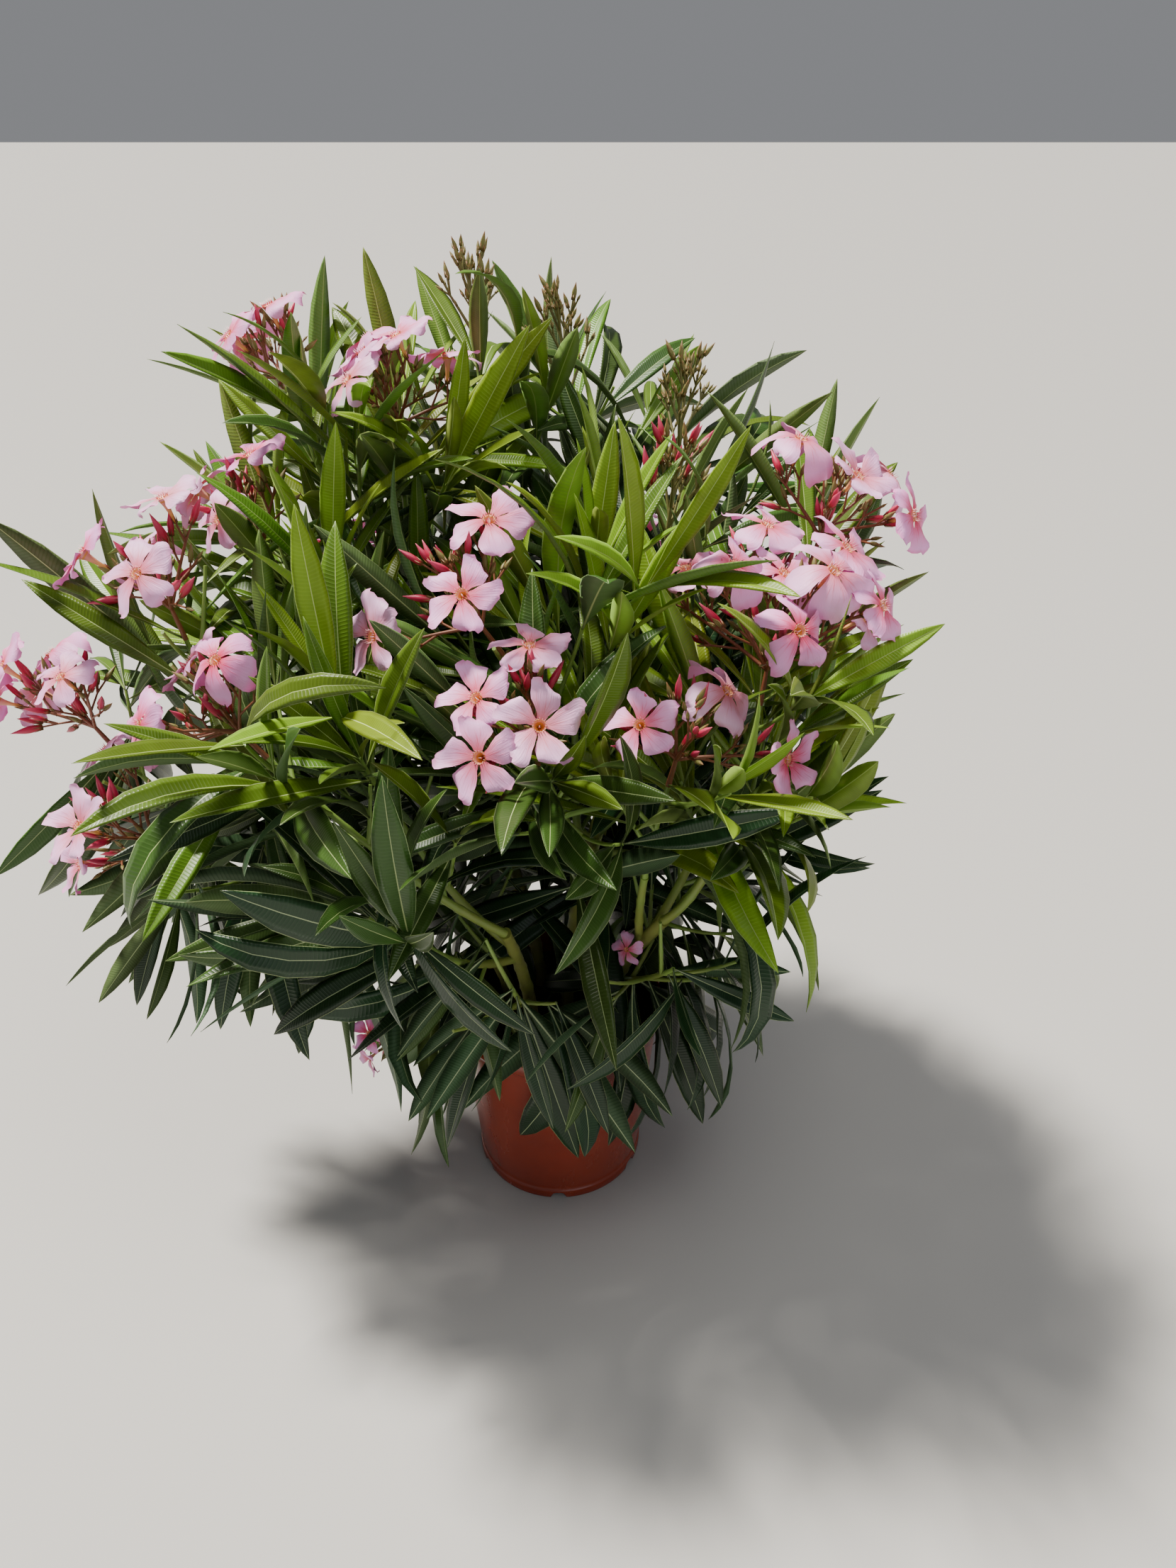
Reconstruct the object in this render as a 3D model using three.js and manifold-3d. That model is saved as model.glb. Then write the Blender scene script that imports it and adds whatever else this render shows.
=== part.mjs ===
// Potted oleander: six green stems from a nursery pot, three-leaved whorls and pink blossom.
// Millimetres, +Z up. The origin is the middle of the pot's flat underside, +Y is the far side.

import * as THREE from "three";
import { mergeVertices } from "three/addons/utils/BufferGeometryUtils.js";
import Module from "manifold-3d";

const wasm = await Module();
wasm.setup();

// Pot
const POT_HEIGHT = 182;
const POT_FOOT_RADIUS = 78;
const POT_TOP_RADIUS = 92;
const POT_WALL = 2;
const POT_FLOOR = 3;
const FOOT_BAND = 9;
const FOOT_STEP = 1.5;
const RIM_DROP = 13;
const RIM_LIP = 3;
const RIM_ROUND = 1.5;
const FOOT_ROUND = 1;
const POT_SIDES = 32;
const DRAIN_SLOTS = 6;
const DRAIN_SLOT = { width: 14, height: 6, depth: 12 };

// Soil, and the gap kept between neighbours
const SOIL_LEVEL = 160;
const CLEAR = 0.3;

// Stems and boughs
const STEM_RADII = [5.6, 4.3];
const STEM_FLARE = 1.35;
const FLARE_HEIGHT = 30;
const STEM_RISE = 0.45;
const STEM_SIDES = 8;
const STEM_STEPS = 6;
const BOUGH_RADII = [3.7, 2.9];
const BOUGH_SIDES = 5;
const BOUGH_STEPS = 3;
const BOUGH_SHARE = 0.36;
const FORK_STEP = 0.13;
const FORK_LEAN = 42;
const LOW_RISE = 0.5;

// Leafy twigs. Lengths of side twigs and places along a twig are shares of the leading twig's length.
const TWIG_SIDES = 3;
const LEADER_RADII = [3.0, 1.9];
const SIDE_RADII = [2.4, 1.5];
const NODE_GAP = 36;
const NODE_HEIGHT = 5;
const NODE_TURN = 60;
const TWIG_FOOT = 10;
const FIRST_NODE = 0.14;
const FIRST_SIDE_NODE = 0.5;
const TWIGS_AFTER = [1, 2, 3];
const TWIG_TURN = 137.5;
const TWIG_LEAN = 40;
const TWIG_LEAN_SPREAD = 12;
const TWIG_LENGTH = 0.42;
const TWIG_LENGTH_SPREAD = 0.15;
const TWIG_RISE = 0.12;

// Leaves. A leaf's age is the number of nodes above it on its twig. Leans and turns are in degrees.
const LEAF_LENGTH = 158;
const LEAF_SHORTEST = 0.88;
const LEAF_SPREAD = 0.24;
const TOP_LEAF = 0.82;
const LEAF_WIDTH = 31;
const LEAF_THICKNESS = 2.4;
const BELLY = 0.45;
const LEAN = { top: 27, perAge: 14, most: 82, spread: 14 };
const LEAF_TURN_SPREAD = 16;
const DROOP = { top: 0.08, perAge: 0.16, most: 0.6, hanging: 0.9, spread: 0.6 };
const LOWEST_LEAF = 25;
const HANGING_BELOW = 430;
const FULLY_HANGING = 200;
// Where a leaf can't grow as it would, it tries other turns and leans, in degrees, and lengths
const TRIES = [
  [0, 0, 1],
  [16, 0, 1],
  [-16, 0, 1],
  [0, -12, 0.9],
  [0, 12, 0.9],
  [28, -6, 0.8],
  [-28, -6, 0.8],
  [14, 14, 0.68],
  [-14, -14, 0.68],
  [0, 0, 0.55],
];

// Blossom
const PETALS = 5;
const BLOSSOM_RADIUS = 25;
const NOTCH_RADIUS = 8;
const NOTCH_TURN = 0.62;
const PETAL_START = 0.2;
const PETAL_RISE = 2;
const THROAT_DEPTH = 3;
const TUBE_LENGTH = 20;
const TUBE_TOP = 15;
const THROAT_RADIUS = 4;
const STALK_LENGTH = 62;
const STALK_SHORTEST = 0.75;
const STALK_SPREAD = 0.3;
const STALK_LEAN = 34;
const STALK_LEAN_SPREAD = 16;
const END_STALK = 31;
const STALK_RADIUS = 1.5;
const BUD_LENGTH = 24;
const BUD_RADIUS = 3.2;
const BUD_BELLY = 0.45;

// Each stem: where it leaves the soil, and the place of its top
const STEMS = {
  left: { foot: [-42, 8], top: [-150, 12, 330] },
  front: { foot: [-20, -38], top: [-38, -82, 318] },
  centre: { foot: [8, -4], top: [38, -28, 400] },
  right: { foot: [44, -18], top: [88, -66, 318] },
  back_left: { foot: [-18, 42], top: [-78, 96, 365] },
  back_right: { foot: [26, 40], top: [48, 104, 350] },
};

// Each shoot: its name, the stem that bears it, the place of its leafy top and what it ends in.
// The first of a stem carries on from the stem's top, the next ones leave it lower and lower.
const SHOOTS = [
  { name: "left_flowers", stem: "left", top: [-279, -20, 602], ends: "flowers" },
  { name: "far_left_flowers", stem: "left", top: [-378, 4, 495], ends: "flowers" },
  { name: "left_hanging_flowers", stem: "left", top: [-334, -62, 420], ends: "flowers" },
  { name: "left_low_flowers", stem: "front", top: [-240, -86, 532], ends: "flowers" },
  { name: "left_inner_leaves", stem: "front", top: [-146, -74, 512], ends: "leaves" },
  { name: "front_left_leaves", stem: "front", top: [-104, -150, 392], ends: "leaves" },
  { name: "centre_flowers", stem: "centre", top: [-66, -68, 603], ends: "flowers" },
  { name: "front_flowers", stem: "centre", top: [-14, -122, 545], ends: "flowers" },
  { name: "centre_leaves", stem: "centre", top: [30, -12, 580], ends: "leaves" },
  { name: "red_buds", stem: "centre", top: [95, 54, 640], ends: "buds" },
  { name: "right_flowers", stem: "right", top: [156, -56, 576], ends: "flowers" },
  { name: "right_top_flowers", stem: "right", top: [203, 8, 650], ends: "flowers" },
  { name: "right_low_flowers", stem: "right", top: [95, -122, 531], ends: "flowers" },
  { name: "right_side_leaves", stem: "right", top: [156, -68, 446], ends: "leaves" },
  { name: "mid_left_flowers", stem: "back_left", top: [-119, 118, 699], ends: "flowers" },
  { name: "back_left_flowers", stem: "back_left", top: [-219, 150, 723], ends: "flowers" },
  { name: "left_back_flowers", stem: "back_left", top: [-233, 58, 626], ends: "flowers" },
  { name: "back_left_low_flowers", stem: "back_left", top: [-196, 262, 505], ends: "flowers" },
  { name: "back_buds", stem: "back_right", top: [0, 222, 715], ends: "buds" },
  { name: "tall_buds", stem: "back_right", top: [-68, 206, 752], ends: "buds" },
  { name: "back_right_buds", stem: "back_right", top: [108, 170, 676], ends: "buds" },
  { name: "back_right_flowers", stem: "back_right", top: [196, 180, 505], ends: "flowers" },
  { name: "back_low_flowers", stem: "back_right", top: [44, 298, 520], ends: "flowers" },
];

// Low shoots leave a stem directly: how far up it, and the place of their tops
const LOW_SHOOTS = [
  { name: "low_left_shoot", stem: "left", up: 0.4, top: [-152, -66, 158], ends: "flowers" },
  { name: "low_front_leaves", stem: "front", up: 0.34, top: [-30, -124, 296], ends: "leaves" },
  { name: "low_right_leaves", stem: "right", up: 0.4, top: [94, -104, 300], ends: "leaves" },
  { name: "low_side_leaves", stem: "right", up: 0.5, top: [136, 24, 356], ends: "leaves" },
  { name: "low_back_leaves", stem: "back_right", up: 0.4, top: [78, 156, 322], ends: "leaves" },
  { name: "low_back_left_leaves", stem: "back_left", up: 0.4, top: [-106, 150, 322], ends: "leaves" },
];

// How far the crown reaches from the pot's axis to each side, at these heights, and how high it
// reaches, at these places across it. Its outline seen from above is fuller than an ellipse.
const CROWN_HEIGHTS = [50, 130, 240, 290, 340, 460, 600, 680];
const CROWN_REACH = {
  right: [165, 178, 215, 232, 248, 266, 270, 290],
  left: [170, 190, 260, 440, 460, 470, 470, 420],
  front: [125, 145, 185, 205, 220, 260, 280, 280],
  back: [170, 200, 270, 310, 350, 410, 410, 410],
};
const FULLNESS = 2.6;
const CROWN_ACROSS = [-350, -230, -120, -30, 30, 90, 180, 290];
const CROWN_TOP = [700, 765, 800, 785, 735, 700, 725, 670];

// Ways are walked in this many steps. Corners nearer than the weld are one.
const WAY_STEPS = 100;
const WELD = 0.01;
const SAME_CORNER = 1e-4;
const PARALLEL = 1e-6;
const SHOOT_BEND = 0.3;
const FIRST_SEED = 41;
const SEED_STEP = 977;

const UP = new THREE.Vector3(0, 0, 1);
const { degToRad, clamp, lerp } = THREE.MathUtils;
const shrub = new THREE.Group();
shrub.name = "potted_oleander";

// Materials
const finish = (color, roughness) => new THREE.MeshStandardMaterial({ color, roughness, metalness: 0 });
const potFinish = () => finish(0xa5431f, 0.28);
const soilFinish = () => finish(0x2c2119, 0.95);
const stemFinish = () => finish(0x6f7c3a, 0.55);
const boughFinish = () => finish(0x6d8a33, 0.5);
const leafFinish = () => finish(0x3f6a26, 0.45);

// A generator that gives the same numbers between 0 and 1 for the same seed
function seededRandom(seed) {
  const multiplier = 16807;
  const size = 2 ** 31 - 1;
  let state = seed;
  return () => {
    state = (state * multiplier) % size;
    return state / size;
  };
}

function closedSolid(geometry) {
  const bare = geometry.index ? geometry.toNonIndexed() : geometry.clone();
  bare.deleteAttribute("normal");
  bare.deleteAttribute("uv");
  const merged = mergeVertices(bare, SAME_CORNER);
  return new wasm.Manifold(
    new wasm.Mesh({
      numProp: 3,
      vertProperties: new Float32Array(merged.attributes.position.array),
      triVerts: new Uint32Array(merged.index.array),
    }),
  );
}

// Corners closer than the weld become one, and the faces that this closes go
function solidGeometry(solid) {
  const mesh = solid.getMesh();
  const raw = new THREE.BufferGeometry();
  raw.setAttribute("position", new THREE.BufferAttribute(new Float32Array(mesh.vertProperties), 3));
  raw.setIndex(Array.from(mesh.triVerts));
  const geometry = mergeVertices(raw, WELD);
  const index = Array.from(geometry.index.array);
  const kept = index.filter((_, i) => {
    const [a, b, c] = index.slice(i - (i % 3), i - (i % 3) + 3);
    return a !== b && b !== c && c !== a;
  });
  geometry.setIndex(kept);
  geometry.computeVertexNormals();
  return geometry;
}

function addPiece(name, geometry, material) {
  const mesh = new THREE.Mesh(geometry, material);
  mesh.name = name;
  shrub.add(mesh);
}

function facesGeometry(points, faces) {
  const geometry = new THREE.BufferGeometry();
  const values = points.flatMap((point) => point.toArray());
  geometry.setAttribute("position", new THREE.Float32BufferAttribute(values, 3));
  geometry.setIndex(faces.flat());
  return geometry;
}

// A tapering limb: a ring of corners round each of its points, closed by a flat cap at both ends.
// The foot may face a given way, so that it meets what it stands on squarely. Rings may be turned.
function limb(points, radii, sides, facing, turns = []) {
  const corners = [];
  const faces = [];
  const across = new THREE.Vector3(1, 0, 0);
  points.forEach((point, i) => {
    const before = points[Math.max(i - 1, 0)];
    const after = points[Math.min(i + 1, points.length - 1)];
    const along = i === 0 && facing ? facing : after.clone().sub(before).normalize();
    across.addScaledVector(along, -across.dot(along)).normalize();
    const other = along.clone().cross(across);
    for (let k = 0; k < sides; k++) {
      const turn = (2 * Math.PI * k) / sides + degToRad(turns[i] ?? 0);
      const corner = point.clone().addScaledVector(across, radii[i] * Math.cos(turn));
      corners.push(corner.addScaledVector(other, radii[i] * Math.sin(turn)));
    }
  });
  for (let i = 0; i + 1 < points.length; i++) {
    for (let k = 0; k < sides; k++) {
      const a = i * sides + k;
      const b = i * sides + ((k + 1) % sides);
      faces.push([a, b, b + sides], [a, b + sides, a + sides]);
    }
  }
  const last = (points.length - 1) * sides;
  for (let k = 1; k + 1 < sides; k++) {
    faces.push([0, k + 1, k], [last, last + k, last + k + 1]);
  }
  return { corners, faces, sides, points, radii };
}

const limbGeometry = ({ corners, faces }) => facesGeometry(corners, faces);

function taper([start, end], count) {
  return Array.from({ length: count }, (_, i) => start + ((end - start) * i) / (count - 1));
}

// A convex block for the test of what stands clear: its corners, face normals and edges
function convexBlock(corners, faces) {
  const centre = corners.reduce((sum, p) => sum.add(p), new THREE.Vector3()).divideScalar(corners.length);
  const radius = Math.max(...corners.map((p) => p.distanceTo(centre)));
  const normals = faces.map(([a, b, c]) => {
    const side = corners[b].clone().sub(corners[a]);
    return side.cross(corners[c].clone().sub(corners[a])).normalize();
  });
  const edges = faces.flatMap(([a, b, c]) =>
    [[a, b], [b, c], [c, a]].filter(([p, q]) => p < q).map(([p, q]) => corners[q].clone().sub(corners[p])),
  );
  return { corners, centre, radius, normals, edges };
}

function limbBlocks(l) {
  const n = l.sides;
  const sideFaces = l.faces.slice(0, 2 * n);
  return l.points.slice(1).map((_, i) => convexBlock(l.corners.slice(i * n, (i + 2) * n), sideFaces));
}

function gapAlong(axis, a, b) {
  let [lowA, highA, lowB, highB] = [Infinity, -Infinity, Infinity, -Infinity];
  for (const p of a.corners) {
    const d = p.dot(axis);
    lowA = Math.min(lowA, d);
    highA = Math.max(highA, d);
  }
  for (const p of b.corners) {
    const d = p.dot(axis);
    lowB = Math.min(lowB, d);
    highB = Math.max(highB, d);
  }
  return Math.max(lowB - highA, lowA - highB);
}

// Two blocks stand clear where some direction shows a gap between them
function standClear(a, b) {
  if (a.centre.distanceTo(b.centre) > a.radius + b.radius + CLEAR) return true;
  for (const axis of [...a.normals, ...b.normals]) {
    if (gapAlong(axis, a, b) > CLEAR) return true;
  }
  const axis = new THREE.Vector3();
  for (const edgeA of a.edges) {
    for (const edgeB of b.edges) {
      axis.crossVectors(edgeA, edgeB);
      if (axis.lengthSq() < PARALLEL) continue;
      if (gapAlong(axis.normalize(), a, b) > CLEAR) return true;
    }
  }
  return false;
}

const taken = [];

function isFree(owner, blocks) {
  const others = taken.filter((other) => other.owner !== owner);
  return others.every((other) => blocks.every((block) => standClear(block, other.block)));
}

function take(owner, blocks) {
  for (const block of blocks) taken.push({ owner, block });
}

// The pot: a thin shell with a rolled rim, and slots round its foot for water
function pot() {
  const shoulder = POT_HEIGHT - RIM_DROP;
  const lip = POT_TOP_RADIUS + RIM_LIP;
  const waist = POT_FOOT_RADIUS - FOOT_STEP;
  const slope = (POT_TOP_RADIUS - waist) / (shoulder - FOOT_BAND);
  const inside = (z) => waist - POT_WALL + slope * (z - FOOT_BAND);
  const profile = [
    [0, 0],
    [POT_FOOT_RADIUS - FOOT_ROUND, 0],
    [POT_FOOT_RADIUS, FOOT_ROUND],
    [POT_FOOT_RADIUS, FOOT_BAND],
    [waist, FOOT_BAND + FOOT_ROUND],
    [POT_TOP_RADIUS, shoulder],
    [lip, shoulder + RIM_ROUND],
    [lip, POT_HEIGHT - RIM_ROUND],
    [lip - RIM_ROUND, POT_HEIGHT],
    [POT_TOP_RADIUS, POT_HEIGHT],
    [inside(shoulder), shoulder - POT_WALL],
    [inside(POT_FLOOR), POT_FLOOR],
    [0, POT_FLOOR],
  ];
  const lathe = new THREE.LatheGeometry(profile.map(([r, z]) => new THREE.Vector2(r, z)), POT_SIDES);
  lathe.rotateX(Math.PI / 2);
  let shell = closedSolid(lathe);
  for (let i = 0; i < DRAIN_SLOTS; i++) {
    const slot = new THREE.BoxGeometry(DRAIN_SLOT.depth, DRAIN_SLOT.width, DRAIN_SLOT.height * 2);
    slot.translate(POT_FOOT_RADIUS, 0, 0);
    slot.rotateZ(((i + 0.5) * 2 * Math.PI) / DRAIN_SLOTS);
    shell = shell.subtract(closedSolid(slot));
  }
  addPiece("pot", solidGeometry(shell), potFinish());
  const axis = [new THREE.Vector3(), new THREE.Vector3(0, 0, POT_HEIGHT)];
  take("pot", limbBlocks(limb(axis, [POT_FOOT_RADIUS, lip], POT_SIDES / 2)));
  soil((z) => inside(z) - CLEAR);
}

// The compost fills the pot to a little below its rim
function soil(radiusAt) {
  const bottom = POT_FLOOR + CLEAR;
  const height = SOIL_LEVEL - bottom;
  const block = new THREE.CylinderGeometry(radiusAt(SOIL_LEVEL), radiusAt(bottom), height, POT_SIDES);
  block.rotateX(Math.PI / 2);
  block.translate(0, 0, bottom + height / 2);
  addPiece("soil", solidGeometry(closedSolid(block)), soilFinish());
}

const vector = (values) => new THREE.Vector3(...values);

// Main stems rise straight out of the soil, flared at the foot, and lean to their tops
const stems = {};

function mainStems() {
  for (const [name, { foot, top }] of Object.entries(STEMS)) {
    const start = new THREE.Vector3(...foot, SOIL_LEVEL + CLEAR);
    const end = vector(top);
    const bend = start.clone().setZ(start.z + STEM_RISE * (end.z - start.z));
    const points = new THREE.QuadraticBezierCurve3(start, bend, end).getSpacedPoints(STEM_STEPS);
    const radii = taper(STEM_RADII, points.length).map((r, i) => {
      const height = points[i].z - start.z;
      return r * (1 + (STEM_FLARE - 1) * Math.max(0, 1 - height / FLARE_HEIGHT));
    });
    const body = limb(points, radii, STEM_SIDES, UP);
    const swollenRadii = radii.map((r) => r + CLEAR / Math.cos(Math.PI / STEM_SIDES));
    const swollen = limb(points, swollenRadii, STEM_SIDES, UP);
    stems[name] = { points, radii, solid: closedSolid(limbGeometry(swollen)), used: 0 };
    take(`${name}_stem`, limbBlocks(body));
    addPiece(`${name}_stem`, limbGeometry(body), stemFinish());
  }
}

function pointUp(stem, share) {
  const at = share * (stem.points.length - 1);
  const i = Math.min(Math.floor(at), stem.points.length - 2);
  return stem.points[i].clone().lerp(stem.points[i + 1], at - i);
}

// The way of a shoot from its stem: outwards first, then up towards its top
function shootWay(start, heading, top) {
  const reach = top.clone().sub(start);
  const bend = start.clone().addScaledVector(heading, SHOOT_BEND * reach.length());
  bend.addScaledVector(reach.clone().setZ(0), SHOOT_BEND);
  return new THREE.QuadraticBezierCurve3(start, bend, top);
}

// Boughs: the first carries on from the stem's top, the others are cut to its side
function boughOf(shoot) {
  const stem = stems[shoot.stem];
  const last = stem.points.length - 1;
  const leads = stem.used === 0;
  const share = 1 - FORK_STEP * stem.used;
  stem.used += 1;
  const along = stem.points[last].clone().sub(stem.points[last - 1]).normalize();
  const start = leads ? stem.points[last].clone().addScaledVector(along, CLEAR) : pointUp(stem, share);
  const top = vector(shoot.top);
  const away = top.clone().sub(start);
  away.addScaledVector(along, -away.dot(along)).normalize();
  const fork = degToRad(FORK_LEAN);
  const parting = along.clone().multiplyScalar(Math.cos(fork)).addScaledVector(away, Math.sin(fork));
  const heading = leads ? along : parting;
  const way = shootWay(start, heading, top);
  const whole = way.getSpacedPoints(WAY_STEPS);
  const end = Math.round(WAY_STEPS * BOUGH_SHARE);
  const shares = Array.from({ length: BOUGH_STEPS + 1 }, (_, i) => i / BOUGH_STEPS);
  const points = shares.map((part) => whole[Math.round(end * part)]);
  const body = limb(points, taper(BOUGH_RADII, points.length), BOUGH_SIDES, heading);
  let solid = closedSolid(limbGeometry(body));
  if (!leads) solid = solid.subtract(stem.solid);
  const name = `${shoot.name}_bough`;
  take(name, limbBlocks(body));
  addPiece(name, solidGeometry(solid), boughFinish());
  const facing = points[BOUGH_STEPS].clone().sub(points[BOUGH_STEPS - 1]).normalize();
  const rest = whole.slice(end);
  rest[0] = rest[0].clone().addScaledVector(facing, CLEAR);
  return { way: rest, facing };
}

// A shoot that leaves a stem directly starts at the stem's middle and is cut to its side later
function lowWay(shoot) {
  const stem = stems[shoot.stem];
  const start = pointUp(stem, shoot.up);
  const top = vector(shoot.top);
  const heading = top.clone().sub(start).normalize().addScaledVector(UP, LOW_RISE).normalize();
  return shootWay(start, heading, top).getSpacedPoints(WAY_STEPS);
}

function alongWay(way, share) {
  return way[Math.round(share * (way.length - 1))];
}

// A three-sided twig. Each leaf node is a short stretch whose three sides bear a leaf each, and
// it is turned half a step from the node below.
function twigAlong(way, radii, firstNode, spin, facing) {
  const length = way.slice(1).reduce((sum, p, i) => sum + p.distanceTo(way[i]), 0);
  const room = length * (1 - firstNode) - NODE_HEIGHT;
  const count = Math.max(2, Math.round(room / NODE_GAP) + 1);
  const points = [way[0], alongWay(way, TWIG_FOOT / length)];
  const turns = [spin, spin];
  for (let n = 0; n < count; n++) {
    const low = firstNode + ((room / length) * n) / (count - 1);
    points.push(alongWay(way, low), alongWay(way, low + NODE_HEIGHT / length));
    turns.push(spin - NODE_TURN * n, spin - NODE_TURN * n);
  }
  const body = limb(points, taper(radii, points.length), TWIG_SIDES, facing, turns);
  return { ...body, nodes: count, borne: [] };
}

// A direction square to a twig, at a turn round it
function sideways(along, turn) {
  const across = new THREE.Vector3(1, 0, 0);
  across.addScaledVector(along, -across.dot(along)).normalize();
  return across.applyAxisAngle(along, degToRad(turn));
}

// The frame of what grows from a twig's side: where it heads, its upper face and its width.
// The upper face looks at the twig's top.
function frameOf({ along, out, turn, lean }) {
  const side = out.clone().applyAxisAngle(along, degToRad(turn));
  const angle = degToRad(lean);
  const heading = along.clone().multiplyScalar(Math.cos(angle)).addScaledVector(side, Math.sin(angle));
  const upper = along.clone().multiplyScalar(Math.sin(angle)).addScaledVector(side, -Math.cos(angle));
  return { heading, upper, across: upper.clone().cross(heading).normalize() };
}

// Three corners round a point: left, right and keel
function ringOf(centre, { upper, across }, halfWidth, raise, keel) {
  return [
    centre.clone().addScaledVector(across, -halfWidth).addScaledVector(upper, raise),
    centre.clone().addScaledVector(across, halfWidth).addScaledVector(upper, raise),
    centre.clone().addScaledVector(upper, -keel),
  ];
}

function roundRing(centre, frame, radius) {
  return ringOf(centre, frame, Math.cos(Math.PI / 6) * radius, Math.sin(Math.PI / 6) * radius, radius);
}

// The faces between the four corners of a twig's side, 0 to 3, and a first ring, 4 to 6
const ROOT_FACES = [
  [0, 1, 6],
  [1, 2, 5],
  [2, 3, 4],
  [2, 4, 5],
  [3, 0, 4],
  [0, 6, 4],
  [1, 5, 6],
];

function closeTip([left, right, keel], tip) {
  return [[left, keel, tip], [keel, right, tip], [right, left, tip]];
}

// The faces between two rings of left, right and keel
function ringToRing(low, high) {
  const sides = [[1, 0], [0, 2], [2, 1]];
  return sides.flatMap(([a, b]) => [[low[a], low[b], high[b]], [low[a], high[b], high[a]]]);
}

const LEAF_FACES = [...ROOT_FACES, ...closeTip([4, 5, 6], 7)];
const BLADE_FACES = [...closeTip([0, 1, 2], 3), [0, 1, 2]];

// A leaf: a broad belly with a keel under it, and a tip that bends down
function leafShape(place) {
  const { middle, length, droop } = place;
  const frame = frameOf(place);
  const belly = middle.clone().addScaledVector(frame.heading, BELLY * length);
  const low = frame.heading.clone().addScaledVector(UP, -droop).normalize();
  const width = LEAF_WIDTH * Math.sqrt(length / LEAF_LENGTH);
  const own = ringOf(belly, frame, width / 2, 0, LEAF_THICKNESS);
  own.push(belly.addScaledVector(low, (1 - BELLY) * length));
  return { own, faces: LEAF_FACES, outer: convexBlock(own, BLADE_FACES) };
}

// A pinwheel blossom of five petals on its stalk's last ring, with that ring's corner numbers
function blossomShape(centre, frame, ring, first) {
  const { heading, upper, across } = frame;
  const at = (height, radius, turn) => {
    const point = centre.clone().addScaledVector(heading, height);
    point.addScaledVector(across, radius * Math.cos(turn));
    return point.addScaledVector(upper, radius * Math.sin(turn));
  };
  const own = roundRing(at(TUBE_TOP, 0, 0), frame, THROAT_RADIUS);
  const throat = [first + 1, first, first + 2];
  const rim = Array.from({ length: 2 * PETALS }, (_, i) => first + 3 + i);
  for (let i = 0; i < PETALS; i++) {
    const turn = PETAL_START + (2 * Math.PI * i) / PETALS;
    own.push(at(TUBE_LENGTH + PETAL_RISE, BLOSSOM_RADIUS, turn));
    own.push(at(TUBE_LENGTH, NOTCH_RADIUS, turn + (NOTCH_TURN * 2 * Math.PI) / PETALS));
  }
  own.push(at(TUBE_LENGTH - THROAT_DEPTH, 0, 0));
  const middle = first + 3 + rim.length;
  const faces = ringToRing(ring, [first, first + 1, first + 2]);
  rim.forEach((corner, i) => {
    const next = rim[(i + 1) % rim.length];
    const under = throat[Math.floor((i * 3) / rim.length)];
    const nextUnder = throat[Math.floor(((i + 1) * 3) / rim.length) % 3];
    faces.push([middle, corner, next], [corner, under, next]);
    if (nextUnder !== under) faces.push([next, under, nextUnder]);
  });
  return { own, faces };
}

// A closed bud on its stalk's last ring
function budShape(centre, frame, ring, first) {
  const belly = centre.clone().addScaledVector(frame.heading, BUD_BELLY * BUD_LENGTH);
  const own = roundRing(belly, frame, BUD_RADIUS);
  own.push(centre.clone().addScaledVector(frame.heading, BUD_LENGTH));
  const fat = [first, first + 1, first + 2];
  return { own, faces: [...ringToRing(ring, fat), ...closeTip(fat, first + 3)] };
}

// A stalk from a twig's side, ending in a blossom or a bud
function stalkShape(place) {
  const frame = frameOf(place);
  const end = place.middle.clone().addScaledVector(frame.heading, place.length);
  const own = roundRing(end, frame, STALK_RADIUS);
  const makeHead = place.open ? blossomShape : budShape;
  const first = 7;
  const head = makeHead(end, frame, [4, 5, 6], first);
  const closed = head.faces.filter((face) => Math.min(...face) >= first);
  const headFaces = closed.map((face) => face.map((c) => c - first));
  const outer = convexBlock(head.own, headFaces);
  return { own: [...own, ...head.own], faces: [...ROOT_FACES, ...head.faces], outer };
}

// The three sides of a twig's node, each a place for a leaf or a stalk
function sidesOf(twig, node) {
  const ring = 2 + 2 * node;
  const [low, high] = [twig.points[ring], twig.points[ring + 1]];
  const along = high.clone().sub(low).normalize();
  return [0, 1, 2].map((k) => {
    const a = ring * 3 + k;
    const b = ring * 3 + ((k + 1) % 3);
    const middle = twig.corners[a].clone().lerp(twig.corners[b + 3], 0.5);
    const out = middle.clone().sub(low.clone().lerp(high, 0.5));
    out.addScaledVector(along, -out.dot(along)).normalize();
    return { twig, low, corners: [a, b, b + 3, a + 3], middle, along, out, turn: 0 };
  });
}

// The leaves that a twig could bear: upright and short at its top, wide lower down, and hanging
// at the foot of the shrub
function leafPlaces(twig, leafNodes, random) {
  return Array.from({ length: leafNodes }, (_, n) => sidesOf(twig, n).map((side) => {
    const age = leafNodes - 1 - n;
    const hang = clamp((HANGING_BELOW - side.low.z) / (HANGING_BELOW - FULLY_HANGING), 0, 1);
    const turn = LEAF_TURN_SPREAD * (random() - 0.5);
    const lean = Math.min(LEAN.most, LEAN.top + LEAN.perAge * age) + LEAN.spread * (random() - 0.5);
    const size = LEAF_LENGTH * (LEAF_SHORTEST + LEAF_SPREAD * random());
    const ageing = Math.min(DROOP.most, DROOP.top + DROOP.perAge * age) * (0.5 + random());
    const droop = ageing + hang * (DROOP.hanging + DROOP.spread * random());
    return { ...side, turn, lean, droop, length: size * (age === 0 ? TOP_LEAF : 1) };
  })).flat();
}

// A side twig's first stretch is sunk in its leading twig, so it isn't tested
function isClearOf(block, twig) {
  return limbBlocks(twig).slice(twig.isSide ? 1 : 0).every((other) => standClear(block, other));
}

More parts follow.
